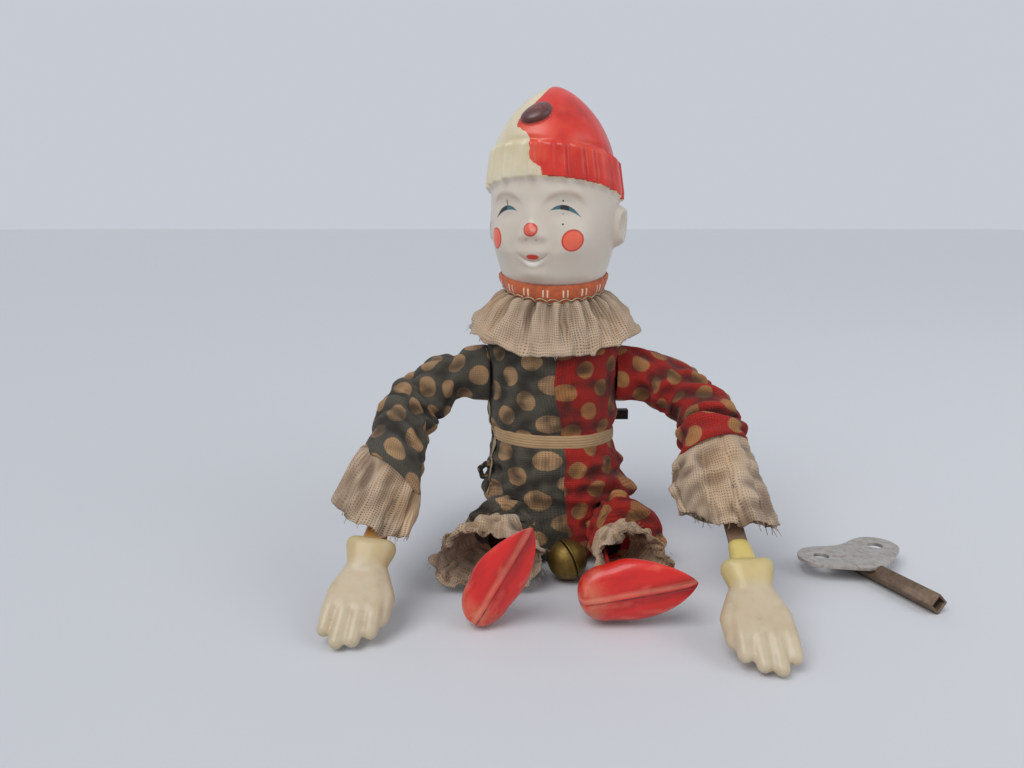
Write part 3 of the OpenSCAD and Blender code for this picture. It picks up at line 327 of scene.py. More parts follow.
class Finish:
    def __init__(self, name, colour, rough, metal=0.0, **sockets):
        self.material = bpy.data.materials.new(name)
        self.material.use_nodes = True
        self.tree = self.material.node_tree
        self.shader = self.tree.nodes["Principled BSDF"]
        self.shader.inputs["Metallic"].default_value = metal
        self.shader.inputs["Roughness"].default_value = rough
        self.colour = self.shader.inputs["Base Color"].default_value = paint(*colour)
        for socket, value in sockets.items():
            self.shader.inputs[socket.replace("_", " ")].default_value = value
        self.coords = self.tree.nodes.new("ShaderNodeTexCoord")

    def spot(self, kind, turn=0.0, stretch=None):
        """The place on the piece, turned by some degrees or stretched."""
        place = self.coords.outputs[kind]
        if not turn and not stretch:
            return place
        node = self.tree.nodes.new("ShaderNodeMapping")
        node.inputs["Rotation"].default_value = (0, 0, math.radians(turn))
        node.inputs["Scale"].default_value = stretch or (1, 1, 1)
        self.tree.links.new(place, node.inputs["Vector"])
        return node.outputs[0]

    def place(self, kind="Object", turn=0.0):
        split = self.tree.nodes.new("ShaderNodeSeparateXYZ")
        self.tree.links.new(self.spot(kind, turn), split.inputs[0])
        return [Field(self.tree, out) for out in split.outputs]

    def cloud(self, spot, size, detail, rough):
        node = self.tree.nodes.new("ShaderNodeTexNoise")
        for name, value in (("Scale", 1 / (size * MM)), ("Detail", detail), ("Roughness", rough)):
            node.inputs[name].default_value = value
        self.tree.links.new(spot, node.inputs["Vector"])
        return Field(self.tree, node.outputs["Fac"])

    def noise(self, size, detail, kind="Object", stretch=None, rough=0.55):
        """Cloudy noise from 0 to 1 whose lumps are about size millimetres across."""
        return self.cloud(self.spot(kind, stretch=stretch), size, detail, rough)

    def grain(self, fields, size, detail):
        """Cloudy noise that reads three fields as its place, so that it can run along a piece."""
        place = self.tree.nodes.new("ShaderNodeCombineXYZ")
        for field, socket in zip(fields, place.inputs):
            self.tree.links.new(field.socket, socket)
        return self.cloud(place.outputs[0], size, detail, 0.5)

    def mark(self, name):
        """A value that was stored on the piece's points."""
        node = self.tree.nodes.new("ShaderNodeAttribute")
        node.attribute_name = name
        return Field(self.tree, node.outputs["Fac"])

    def over(self, colour, share):
        """Lay a colour over what is there, by a share from 0 to 1."""
        mix = self.tree.nodes.new("ShaderNodeMix")
        mix.data_type = "RGBA"
        self.tree.links.new(share.socket, mix.inputs[0])
        for value, socket in ((self.colour, mix.inputs[6]), (paint(*colour), mix.inputs[7])):
            if isinstance(value, tuple):
                socket.default_value = value
            else:
                self.tree.links.new(value, socket)
        self.colour = mix.outputs[2]
        self.tree.links.new(self.colour, self.shader.inputs["Base Color"])

    def rough(self, field, low, high):
        self.tree.links.new((field * (high - low) + low).socket, self.shader.inputs["Roughness"])

    def bump(self, height, depth, strength):
        node = self.tree.nodes.new("ShaderNodeBump")
        node.inputs["Distance"].default_value = depth * MM
        node.inputs["Strength"].default_value = strength
        self.tree.links.new(height.socket, node.inputs["Height"])
        self.tree.links.new(node.outputs[0], self.shader.inputs["Normal"])


print("finishes ready")

# %% [markdown]
# The suit is a coarse plain-woven cotton with a discharge print: tan dots show the natural thread, and
# the ground is dyed grey or red. The dots lie in staggered rows, slightly askew to the cut. Their edge
# wavers by a thread or two. The same weave carries all of it: two sets of ridges, with dark pinholes
# where they part.

# %% Printed cloth and gauze
def weave(finish, pitch):
    across, along, _ = finish.place("UV")
    wobble = finish.noise(8, 2, "UV") * (2.0 * pitch * MM)
    warp = (across + wobble).ridge(pitch * MM)
    weft = (along + wobble).ridge(pitch * MM)
    return warp, weft


def printed_cloth(name, ground, dot, pitch, rows, dot_r, turn, soil):
    finish = Finish(name, ground, 0.95, Sheen_Weight=0.06, Sheen_Roughness=0.5)
    across, along, _ = finish.place("UV", turn)
    waver = finish.noise(1.2, 3, "UV") * (0.5 * MM)
    first = across.repeat(pitch * MM).far(along.repeat(rows * MM))
    second = across.repeat(pitch * MM, 0.5).far(along.repeat(rows * MM, 0.5))
    dots = (first.least(second) + waver - 0.25 * MM).within(dot_r * MM, 0.18 * MM)
    finish.over(dot, dots)
    faded = finish.noise(9, 4) ** 2.0
    finish.over(soil, (faded * 1.1).least(0.85))
    # Painted shade: the crease valleys are darkened towards black
    finish.over((16, 12, 10), finish.mark("valley") * 0.75)
    warp, weft = weave(finish, 0.62)
    holes = warp.most(weft).within(0.5, 0.28)
    finish.over((26, 20, 16), holes * 0.75)
    threads = finish.noise(0.5, 2, "UV", stretch=(1, 9, 1))
    finish.over((225, 205, 170), (threads - 0.52).most(0.0) * 0.5)
    finish.bump(warp.most(weft) + finish.noise(3.5, 3) * 4, 0.2, 0.9)
    return finish.material


def gauze_cloth(name, colour, pale, soil):
    finish = Finish(name, colour, 0.95, Sheen_Weight=0.2)
    finish.over(pale, finish.noise(14, 3))
    finish.over(soil, finish.noise(7, 4) ** 3.0 * 1.6)
    # Painted shade: the crease valleys are darkened brown
    finish.over((92, 66, 44), finish.mark("valley") * 0.8)
    finish.over((200, 160, 116), (finish.noise(24, 2) - 0.5).most(0.0) * 2.4)
    warp, weft = weave(finish, 0.66)
    holes = warp.most(weft).within(0.62, 0.22)
    open_patch = finish.noise(10, 2)
    finish.over((82, 62, 46), holes * (open_patch * 1.9 - 0.3).held(1.0))
    slub = finish.noise(0.6, 2, "UV", stretch=(1, 12, 1))
    finish.over((232, 214, 188), (slub - 0.5).most(0.0) * 1.2)
    finish.bump(warp.most(weft), 0.22, 0.8)
    return finish.material


grey_cloth = printed_cloth("grey_cloth", (84, 79, 68), dot=(196, 154, 110), pitch=12.6, rows=12.4,
                           dot_r=3.0, turn=8, soil=(46, 42, 37))
red_cloth = printed_cloth("red_cloth", (180, 18, 8), dot=(190, 134, 78), pitch=11.0, rows=12.6,
                          dot_r=2.65, turn=-3, soil=(104, 8, 5))
gauze = gauze_cloth("gauze", (196, 168, 140), (214, 192, 166), (138, 104, 74))
# The toy's left is red and its right is grey, in the sleeves and in the trousers
SIDES = {"left": ("red_cloth", red_cloth), "right": ("grey_cloth", grey_cloth)}
print("cloth finishes made")

# %% [markdown]
# Cloth pieces start as what a cutter would lay on a table: a flat rectangle. A formula wraps the
# rectangle into its tube or cone, and the seam is welded. Its UV map keeps the flat cut in metres.

# %% Cutting and wrapping cloth
CLOTH_WALL, GAUZE_WALL, TAPE_WALL = 0.35, 0.22, 0.3


def cut_cloth(name, across, along, size, place, closed=True):
    cloth = add(bpy.ops.mesh.primitive_grid_add, x_subdivisions=across, y_subdivisions=along, size=1,
                calc_uvs=True)
    cloth.name = name
    flat = points(cloth) + 0.5
    put(cloth, *place(flat[:, 0], flat[:, 1]))
    set_corner_uv(cloth, corner_uv(cloth)[0] * np.array(size) * MM)
    in_edit(cloth, *([weld, face_out] if closed else [face_out]))
    return cloth


def cut_place(cloth, size):
    """Each point's place on the flat cut, from 0 to 1 both ways."""
    return point_uv(cloth) / (np.array(size) * MM)


def hang(cloth, cut, *rests_on, threads=()):
    """Records nothing: the cut's sizes are only multiplied, and the piece, what it lies on and its threads
    are not used.
    """
    cut[0] * MM
    cut[1] * MM


print("cloth is cut flat, then wrapped")

# %% [markdown]
# Worn cloth also has creases that no simulation gives: sharp, a few millimetres apart and set in many
# directions. They could be sculpted. Here a few folded sine waves push the points along their normals,
# and how deep each point lies is stored on it, so that the finish can paint shade into the valleys.

# %% Creases
# What six ridges of height 1 seldom add up to
RIDGE_SUM = 2.4


def step(value, low, high):
    """0 below low, 1 above high, with a soft rise between."""
    t = np.clip((value - low) / (high - low), 0, 1)
    return t * t * (3 - 2 * t)


def inward(v, rate):
    """0 at both ends of a tube, 1 from a share of 1 / rate inwards."""
    return np.clip(v * rate, 0, 1) * np.clip((1 - v) * rate, 0, 1)


def turn_out(cloth):
    """Make an open tube's faces look away from its middle."""
    middle = points(cloth).mean(0)
    outward = sum((np.array(f.center) - middle) @ np.array(f.normal) * f.area for f in cloth.data.polygons)
    if outward < 0:
        in_edit(cloth, bpy.ops.mesh.flip_normals)


def mark_valleys(cloth, depth):
    mark = cloth.data.attributes.get("valley") or cloth.data.attributes.new("valley", "FLOAT", "POINT")
    mark.data.foreach_set("value", np.clip(depth, 0, 1).astype(np.float32))


def crumple(cloth, size, depth, share, seed):
    """Old creases: sharp ridges between soft hollows, about size millimetres apart, in many directions."""
    turn_out(cloth)
    place = points(cloth) / MM
    rng = np.random.default_rng(seed)
    ridge = np.zeros(len(place))
    for _ in range(6):
        way, bend = rng.normal(size=(2, 3))
        way *= math.pi / size * rng.uniform(0.6, 1.3) / np.linalg.norm(way)
        bend *= TAU / (3 * size) / np.linalg.norm(bend)
        ridge += 1 - 2 * np.abs(np.sin(place @ way + 1.2 * np.sin(place @ bend) + rng.uniform(0, TAU)))
    # How deep each point lies, kept for the painted shade in the valleys
    mark_valleys(cloth, -0.8 * ridge / RIDGE_SUM * share - 0.15)
    normal = np.empty(len(place) * 3, np.float32)
    cloth.data.vertices.foreach_get("normal", normal)
    set_points(cloth, (place + normal.reshape(-1, 3) * (depth * ridge / RIDGE_SUM * share)[:, None]) * MM)


print("creases ready")

# %% [markdown]
# Folds in cloth come from its being longer and wider than the place it fills. The simulation makes just
# that: the cloth is let out by a negative shrink while its edges are held, so it buckles by itself. Toy
# cloth is too small for the solver's defaults, so the piece is made twenty times larger for the run and
# then put back.

# %% Letting cloth out
LARGER = 20


def let_out(cloth, held, ease, stiff, push, frames=20, sag=0.2):
    turn_out(cloth)
    set_points(cloth, points(cloth) * LARGER)
    pick(cloth)
    pins = cloth.vertex_groups.new(name="held")
    pins.add([int(i) for i in np.where(held)[0]], 1.0, "REPLACE")
    modifier = cloth.modifiers.new("Cloth", "CLOTH")
    rules = modifier.settings
    rules.quality = 6
    rules.mass = 0.1
    rules.tension_stiffness = rules.compression_stiffness = 20
    rules.shear_stiffness = 8
    rules.bending_stiffness = stiff
    rules.shrink_min = -ease
    rules.vertex_group_mass = "held"
    rules.use_pressure = True
    rules.uniform_pressure_force = push
    rules.effector_weights.gravity = sag
    modifier.collision_settings.use_collision = False
    scene = bpy.context.scene
    modifier.point_cache.frame_start = 1
    modifier.point_cache.frame_end = frames + 2
    for now in range(1, frames + 1):
        scene.frame_set(now)
    bpy.ops.object.modifier_apply(modifier=modifier.name)
    scene.frame_set(1)
    cloth.vertex_groups.clear()
    set_points(cloth, points(cloth) / LARGER)
    print("let out", cloth.name, len(cloth.data.vertices), "points")


def cloth_tube(kind, which, columns, rows, cut, place, body, crease, **ease):
    """A tube of the suit's cloth, held at both ends, let out, creased and given its thickness."""
    solid = kind + "_" + which
    slot, finish = SIDES[which]
    cloth = cut_cloth(solid, columns, rows, cut, place)
    v = cut_place(cloth, cut)[:, 1]
    let_out(cloth, (v < 0.001) | (v > 0.999), **ease)
    size, depth, rate, seed = crease
    crumple(cloth, size, depth, inward(v, rate), seed)
    stay_above(cloth, 0.7)
    smoother(cloth)
    thick(cloth, CLOTH_WALL)
    return finish_piece(cloth, solid + "_cloth", body, finish, (solid,))


print("cloth is made", LARGER, "times larger while it is let out")

# %% [markdown]
# The body suit is one tube round the tin casing, drawn in at the neck, tied in by the belt and closed
# under the seat, where the front is round so that the legs can swing. It is sewn from two cloths: after
# the folds are in, the tube is taken apart along its front and back seams, so that each half is a piece
# of its own.

# %% Body suit
SUIT_R, SUIT_OVAL, SEAT_R, HIP = 15.8, 2.0, 15.648, (-3.0, 9.0)
BELT_Z, NECK_R, NECK_Z, SHOULDER_Z = 36.5, 13.1, 75.5, 62.5
SUIT_CUT, SEAM_FRONT, SEAM_COLUMNS, SUIT_COLUMNS = (112, 96), 272.2, 49, 96
# Each bunch of cloth at a hip: direction, height, half height, half spread, how far out, slope a degree
HIP_ROLLS = [(338, 20.5, 3.4, 20, 7.6, 0.02), (322, 25.6, 1.7, 32, 2.6, 0.05),
             (326, 14.6, 1.6, 30, -1.8, 0.05), (312, 29.4, 1.4, 30, 1.4, 0.06),
             (345, 28.6, 1.6, 16, 2.0, 0.0), (302, 20.0, 1.6, 20, 1.6, 0.08),
             (216, 19.2, 2.1, 34, 4.6, -0.115), (222, 23.6, 1.5, 30, 2.0, -0.11),
             (210, 15.6, 1.3, 30, -1.5, -0.11), (228, 28.5, 1.4, 24, 1.2, -0.06)]


def suit_place(u, v):
    turn = np.radians(SEAM_FRONT + 360 * u)
    z = np.interp(v, [0, 0.1, 0.13, 0.16, 0.86, 1], [0.7, 0.4, 0.9, 2.6, SHOULDER_Z, NECK_Z])
    share = np.interp(v, [0, 0.1, 0.13, 0.16, 1], [0.15, 0.88, 0.97, 1, 1])
    up = np.clip((z - SHOULDER_Z) / (NECK_Z - SHOULDER_Z), 0, 1)
    by_seam = np.exp(-(np.minimum(u, 1 - u) / 0.12) ** 2)
    turn = turn + (0.0035 * (45 - z) + 0.02 * np.sin(z / 5 + 1) + 0.01 * np.sin(z / 2.2)) * by_seam
    loose = 1 - np.exp(-((z - BELT_Z) / 3.4) ** 2)
    hips = np.exp(-((z - 22) / 8) ** 2)
    full = loose * (0.4 + 0.5 * hips) * (1 - up) * np.clip(z / 10, 0, 1)
    gather = np.cos(23 * turn + 2 * np.sin(3 * turn)) + 0.6 * np.cos(31 * turn)
    full = full + 0.22 * gather * loose * np.exp(-((z - BELT_Z) / 8) ** 2)
    for way, height, tall, wide, far, slope in HIP_ROLLS:
        off = np.degrees((turn - math.radians(way) + math.pi) % TAU - math.pi)
        full = full + far * np.exp(-np.abs((z - height - slope * off) / tall) ** 3 - (off / wide) ** 2)
    r = SUIT_R + (NECK_R - SUIT_R) * np.sqrt(up) + full
    side = np.tanh(6 * np.cos(turn)) * SUIT_OVAL * (1 - np.sqrt(up))
    low = np.clip(z - HIP[1], -9, 9)
    seat = np.where((z < 18) & (np.sin(turn) < 0), (-HIP[0] + np.sqrt(SEAT_R ** 2 - low ** 2)) / SUIT_R, 1)
    return share * (side + r * np.cos(turn)), share * r * np.sin(turn) * seat, z


suit = cut_cloth("suit", SUIT_COLUMNS, 88, SUIT_CUT, suit_place)
height = points(suit)[:, 2] / MM
tied = (height < 3) | (np.abs(height - BELT_Z) < 2.2) | (height > 70)
let_out(suit, tied, 0.05, stiff=2.0, push=1.5, frames=18)
print("suit held at", int(tied.sum()), "points")

# %% [markdown]
# Worn cloth keeps its creases, most of all at the hips, so they are pressed in next. A collision could
# keep the cloth off the casing, but it is slow: points that have sunk in are simply moved out again. In
# front of the seat the cloth is drawn back to a drum round the hip wire, so that the bell and its loop
# can swing.

# %% Creases, and room for the casing and the bell
CASING_R, BELL = 15.1, (3.2, -27.61, 6.3)
loose = step(height, 2, 8) * (1 - np.exp(-((height - BELT_Z) / 3) ** 2)) * step(-height, -70, -62)
crumple(suit, 6.0, 0.35 + 0.75 * np.exp(-((height - 20) / 9) ** 2), loose, 3)
body = points(suit) / MM
around = np.hypot(np.sign(body[:, 0]) * np.maximum(np.abs(body[:, 0]) - SUIT_OVAL, 0), body[:, 1])
sunk = (body[:, 2] > 4) & (body[:, 2] < 61) & (around < CASING_R)
body[sunk, :2] *= (CASING_R / around[sunk])[:, None]
from_hip = np.hypot(body[:, 1] - HIP[0], body[:, 2] - HIP[1])
aside = body[:, 0] - BELL[0]
by_bell = step(-np.abs(aside), -12, -8) * step(-body[:, 2], -20, -17) * (body[:, 1] < HIP[0])
by_loop = 0.5 * np.exp(-(aside / 2.2) ** 2 - ((body[:, 2] - BELL[2]) / 2.8) ** 2)
pull = 1 - by_bell * np.maximum(0, from_hip - SEAT_R + by_loop) / from_hip
body[:, 1] = HIP[0] + (body[:, 1] - HIP[0]) * pull
body[:, 2] = HIP[1] + (body[:, 2] - HIP[1]) * pull
set_points(suit, body * MM)
print("suit points kept out of the casing:", int(sunk.sum()))

# %% [markdown]
# On the toy the two cloths meet in a seam down the front and one down the back. Two halves could be cut
# and sewn, but their folds would not agree at the seams. So the tube is doubled, and each copy loses the
# other's faces. Two slots are cut in the same pass, where the leg strips come out.

# %% Take the suit apart at its seams
SLOT_X, SLOT_HALF, SLOT_TOP, SLOT_FROM, RED_SHARE = 13.2, 0.9, 16.5, 7.6, 0.512


def suit_half(colour, finish):
    red = colour == "red"
    pick(suit)
    bpy.ops.object.duplicate()
    half = bpy.context.object
    layer = half.data.uv_layers[0].data
    drop = []
    for face in half.data.polygons:
        middle = np.mean([layer[i].uv[0] for i in face.loop_indices]) / (SUIT_CUT[0] * MM)
        on_red = bool(middle < SEAM_COLUMNS / SUIT_COLUMNS)
        x, y, z = face.center / MM
        in_slot = (y < 0.5 and z < SLOT_TOP and abs(abs(x) - SLOT_X) < SLOT_HALF
                   and math.hypot(y - HIP[0], z - HIP[1]) > SLOT_FROM)
        drop.append(on_red != red or in_slot)
    delete_faces(half, drop)
    smoother(half)
    thick(half, CLOTH_WALL)
    finish_piece(half, "suit_%s_cloth" % colour, "torso", finish, ("suit_" + colour,))
    share = RED_SHARE if red else 1 - RED_SHARE
    hang(half, (SUIT_CUT[0] * share, SUIT_CUT[1]), "casing_front", "casing_back")
    return half


suit_half("red", red_cloth)
suit_grey = suit_half("grey", grey_cloth)
pick(suit)
bpy.ops.object.delete()

# %% [markdown]
# At the toy's right side the suit is only lapped: the raw edge of the lap shows as a pale line with a
# dark gap behind it. Both are narrow strips laid on the suit by a shrinkwrap, the gap's strip dark with
# painted shade. Below them, a twist of the same cloth stands out from the hip like a small ring, which is a
# torus with an uneven girth.

# %% Raw edge and hip loop
LAP_LOW, LAP_TALL, LAP_OUT, HIP_LOOP = 21, 40, 22, (-19.9, -3.0, 24.0)
edge_cloth = Finish("raw_edge", (186, 166, 134), 0.95, Sheen_Weight=0.1)
edge_cloth.over((118, 98, 74), edge_cloth.noise(2, 4))
# The gap behind the lap is painted shade on a dark strip
gap_shade = Finish("lap_gap_shade", (30, 26, 23), 0.95)
gap_shade.over((52, 46, 40), gap_shade.noise(1.5, 4))


def lap(name, finish, offset, wide, stand):
    def place(u, v):
        z = LAP_LOW + LAP_TALL * v
        way = np.interp(z, [LAP_LOW, 37.5, LAP_LOW + LAP_TALL], [217, 200, 190])
        way = way + 1.2 * np.sin(z / 4) + 0.5 * np.sin(z / 1.3)
        turn = np.radians(way + offset + wide * (u - 0.5) * (1 + 0.3 * np.sin(z / 2.1)))
        x = np.tanh(6 * np.cos(turn)) * SUIT_OVAL + LAP_OUT * np.cos(turn)
        return x, LAP_OUT * np.sin(turn), z

    strip = cut_cloth(name, 4, 90, (1.4, LAP_TALL), place, closed=False)
    apply(strip, "SHRINKWRAP", target=suit_grey, wrap_method="NEAREST_SURFACEPOINT",
          wrap_mode="ABOVE_SURFACE", offset=stand * MM)
    thick(strip, 0.25)
    finish_piece(strip, name, "torso", finish.material)


lap("lap_edge", edge_cloth, offset=0.0, wide=2.6, stand=0.45)
lap("lap_gap_shade", gap_shade, offset=-4.0, wide=5.0, stand=0.2)
loop = add(bpy.ops.mesh.primitive_torus_add, major_segments=48, minor_segments=20, major_radius=1.75 * MM,
           minor_radius=0.8 * MM)
bulge = points(loop) / MM
bulge = bulge * (1 + 0.09 * np.sin(5 * np.arctan2(bulge[:, 1], bulge[:, 0])))[:, None]
put(loop, HIP_LOOP[0] + bulge[:, 0], HIP_LOOP[1] + bulge[:, 2], HIP_LOOP[2] + 1.1 * bulge[:, 1])
in_edit(loop, face_out)
loop_cloth = Finish("loop_cloth", (62, 58, 51), 0.95, Sheen_Weight=0.06)
loop_cloth.over((34, 31, 27), loop_cloth.noise(1.4, 4) * 1.2)
loop_cloth.over((176, 140, 102), (loop_cloth.noise(2.2, 2) * 6 - 3.4).held(0.9))
loop_cloth.bump(loop_cloth.noise(0.5, 3), 0.2, 0.8)
finish_piece(loop, "hip_loop", "torso", loop_cloth.material)

# %% [markdown]
# The arms ride on one axle, and each sleeve turns with its arm. A sleeve is a tube along a bent line:
# straight out from the shoulder, round the elbow and down the forearm. The forearm's frame repeats the
# solids' own.

# %% Arm frames
AXLE_Z, ELBOW_R, SLEEVE_START, SLEEVE_R, SLEEVE_GIRTH = 53.5, 14.0, 18.5, 7.4, 47
# angle: turn of the arm from straight down; reach: elbow's distance; lean: of the forearm, outwards;
# seat and hem: how far down the hand and the sleeve's hem are; slant and flare: of that hem
ARMS = {
    "left": dict(side=1, angle=55.97, reach=41.0, lean=2.5, seat=67.0, hem=31.0, slant=-2.5, flare=0.32),
    "right": dict(side=-1, angle=51.72, reach=38.0, lean=9.0, seat=59.0, hem=38.0, slant=-5.0, flare=0.1),
}


def arm_place(arm, x, y, z):
    """From the arm's own frame (x out, y to the back of the hand, z down the arm) to the toy's."""
    c, s = cos_sin(arm["angle"])
    return arm["side"] * x, -y * c - z * s, AXLE_Z + y * s - z * c


def forearm_place(arm, x, y, z):
    c, s = cos_sin(arm["lean"])
    return arm_place(arm, arm["reach"] + x * c + z * s, y, z * c - x * s)


def sleeve_line(arm, s):
    """Place and bend of the sleeve's middle line for a share of its length, and that length."""
    lean = math.radians(arm["lean"])
    turn = math.pi / 2 - lean
    rise = 1 - math.sin(lean)
    flat = arm["reach"] + ELBOW_R * rise * math.tan(lean) - ELBOW_R * math.cos(lean) - SLEEVE_START
    arc = ELBOW_R * turn
    down = (arm["hem"] - ELBOW_R * rise) / math.cos(lean)
    far = s * (flat + arc + down)
    bend = np.clip((far - flat) / ELBOW_R, 0, turn)
    past = np.maximum(0, far - flat - arc)
    x = SLEEVE_START + np.minimum(far, flat) + ELBOW_R * np.sin(bend) + past * math.cos(turn)
    z = ELBOW_R * (1 - np.cos(bend)) + past * math.sin(turn)
    return x, z, bend, flat + arc + down


print("arms", {name: arm["angle"] for name, arm in ARMS.items()})

# %% [markdown]
# The grey sleeve is nearly full, with soft cross folds. The red one is bunched: a deep fold lies across
# it under the elbow. Both get their main folds from the formula and their crumple from letting the cloth
# out.

# %% Sleeves
def sleeve(which, ease, folds):
    arm = ARMS[which]
    length = sleeve_line(arm, np.array([1.0]))[3]
    cut = (SLEEVE_GIRTH * (1 + ease), length * (1 + ease))

    def place(u, v):
        x, z, bend, _ = sleeve_line(arm, v)
        droop = np.exp(-((v - 0.4) / 0.17) ** 2)
        x, z = x - 2.0 * droop, z + 2.6 * droop
        t = TAU * u
        free = inward(v, 9)
        r = SLEEVE_R + 0.25 * np.sin(3 * t + 9 * v) * np.sin(14 * v + np.sin(t)) * free
        for at, deep, wide, lean, where, reach in folds:
            line = (v - at - lean * np.cos(t - where)) / wide
            r = r + deep * np.exp(-line ** 2) * np.exp(-((1 - np.cos(t - where)) / reach) ** 2) * free
        p = r * np.cos(t) * (1 + arm["flare"] * v ** 4)
        cut_back = arm["slant"] * np.cos(t) * v ** 3
        x, z = x + cut_back * np.cos(bend), z + cut_back * np.sin(bend)
        return arm_place(arm, x + p * np.sin(bend), r * np.sin(t), z - p * np.cos(bend))

    cloth = cloth_tube("sleeve", which, 48, 64, cut, place, "arms", crease=(6.5, 0.8, 6, 5), ease=ease,
                       stiff=1.2, push=1.2)
    hang(cloth, cut, "arm_strip_" + which)


# Each fold: place along the sleeve, height, width, slant, direction round it, reach round it
sleeve("left", 0.13, [(0.76, -2.2, 0.035, 0.05, 1.4, 1.7), (0.69, 1.0, 0.05, 0.05, 1.4, 1.6),
                      (0.84, 1.2, 0.05, 0.04, 1.2, 1.6), (0.50, -1.9, 0.028, 0.02, 0.5, 0.35),
                      (0.45, -1.3, 0.04, -0.04, 3.1, 0.9), (0.30, -0.9, 0.03, 0.1, 2.2, 0.9)])
sleeve("right", 0.11, [(0.16, -1.6, 0.035, 0.05, 1.7, 1.0), (0.40, -1.7, 0.035, 0.06, 3.1, 0.8),
                       (0.50, -1.3, 0.03, 0.04, 2.8, 0.8), (0.66, -0.9, 0.04, -0.05, 2.9, 0.8),
                       (0.30, -0.7, 0.03, 0.12, 1.5, 1.0)])

# %% [markdown]
# Frills are strips of open gauze gathered on a thread at one edge and left raw at the other. A frill's
# ring is pleated unevenly: a few sine waves of nearby counts drift in and out of step, as hand gathering
# does. The raw edge wavers and sheds threads.

# %% Gathers
def pleats(t, count, seed):
    rng = np.random.default_rng(seed)
    wave = np.zeros_like(t)
    for k, share in ((count, 0.55), (count - 3, 0.35), (max(2, count // 3), 0.5)):
        wave = wave + share * np.cos(k * t + rng.uniform(0, TAU))
    return wave


def creases(t, count, seed):
    """Narrow valleys where the gathering thread pulls the cloth in, unevenly spaced."""
    rng = np.random.default_rng(seed)
    valley = np.zeros_like(t)
    for k in range(count):
        at = TAU * (k + rng.uniform(-0.35, 0.35)) / count
        off = np.abs((t - at + math.pi) % TAU - math.pi)
        valley = valley + rng.uniform(0.5, 1.5) * np.exp(-(off / 0.06) ** 2)
    return valley


def raw_edge(t, seed, size):
    rng = np.random.default_rng(seed)
    edge = np.zeros_like(t)
    for k in (3, 5, 8, 13, 29, 61):
        edge = edge + rng.uniform(0.3, 1) / math.sqrt(k) * np.sin(k * t + rng.uniform(0, TAU))
    return size * edge


print("gathers ready")

# %% [markdown]
# Gauze frays at its raw edge. Each loose thread is a thin cylinder, cut in three along its length and
# bent outwards, because separate threads catch the light and a fringe drawn in the finish would not. The
# last helper makes a whole frill of the kind that the wrists and the ankles have.

# %% Loose threads
def shed_threads(name, base, count, seed, length, body):
    """Short loose threads along a raw edge: base gives a place and a way out for a turn from 0 to 1."""
    rng = np.random.default_rng(seed)
    threads = []
    for _ in range(count):
        start, way = base(rng.uniform(0, 1))
        curl = rng.normal(0, 0.35, 3)
        thread = add(bpy.ops.mesh.primitive_cylinder_add, vertices=5, radius=0.09 * MM, depth=1)
        in_edit(thread, lambda: slice_mesh((0, 0, 1), (0, 0, 0), (0, 0, 0.25)))
        raw = points(thread)
        s = (raw[:, 2] + 0.5)[:, None]
        reach = length * rng.uniform(0.4, 1.0)
        side = raw * [1, 1, 0] / MM
        set_points(thread, (np.array(start) + np.array(way) * s * reach + curl * reach * s ** 2 + side) * MM)
        threads.append(thread)
    return finish_piece(join(name, threads), name, body, gauze)


def gauze_tube(solid, columns, cut, place, crease, seed, thread, body, rests_on):
    """A gathered tube of gauze. Its raw hem, at v = 0, sheds threads."""
    cloth = cut_cloth(solid, columns, 20, cut, place)
    v = cut_place(cloth, cut)[:, 1]
    crumple(cloth, *crease, np.clip((1 - v) * 4, 0, 1), seed)
    stay_above(cloth, 0.35)
    thick(cloth, GAUZE_WALL)
    finish_piece(cloth, solid + "_gauze", body, gauze, (solid,))

    def edge(u):
        a, b = [np.array(place(np.array([u]), np.array([up]))).ravel() for up in (0.0, 0.2)]
        return a, (a - b) / np.linalg.norm(a - b)

    threads = shed_threads(solid + "_threads", edge, 26, seed, thread, body)
    hang(cloth, cut, rests_on, threads=[threads])


print("threads ready")

# %% [markdown]
# The ruff is the widest frill, a cone of gauze from the neck to the shoulders. It is stiff with dirt, so
# it is not let out: its pleats come from the formulas, sharp at the neck and soft at the hem.

# %% Ruff
RUFF_CUT, RUFF_SIDE, RUFF_FRONT, RUFF_NECK = (150, 16.5), 25.6, 21.0, 12.8
RUFF_LOW, RUFF_TOP = 64.4, 76.2


def neck_lift(t):
    """The neck line sags at the front: 0 there, 1 at the sides."""
    return 1 + np.where(np.sin(t) < 0, 1, 0.25) * np.sin(t)


def ruff_place(u, v):
    t = TAU * u
    s = 1 - v
    hem = 1 / np.hypot(np.cos(t) / RUFF_SIDE, np.sin(t) / RUFF_FRONT)
    low = RUFF_LOW + 2.7 * np.cos(2 * t) + raw_edge(t, 5, 0.5)
    top = RUFF_TOP + 2.3 * neck_lift(t)
    gather = creases(t, 30, 8) * s ** 0.3 * (1 - s) ** 0.6
    r = RUFF_NECK + (hem - RUFF_NECK) * s ** 0.62 + 0.8 * pleats(t, 17, 4) * s ** 1.2 - 3.4 * gather
    z = top + (low - top) * s ** 1.3
    return r * np.cos(t), r * np.sin(t), z


ruff = cut_cloth("ruff", 512, 26, RUFF_CUT, ruff_place)
flat = cut_place(ruff, RUFF_CUT)
crumple(ruff, 8.0, 0.9, np.clip((1 - flat[:, 1]) * 2, 0, 1), 6)
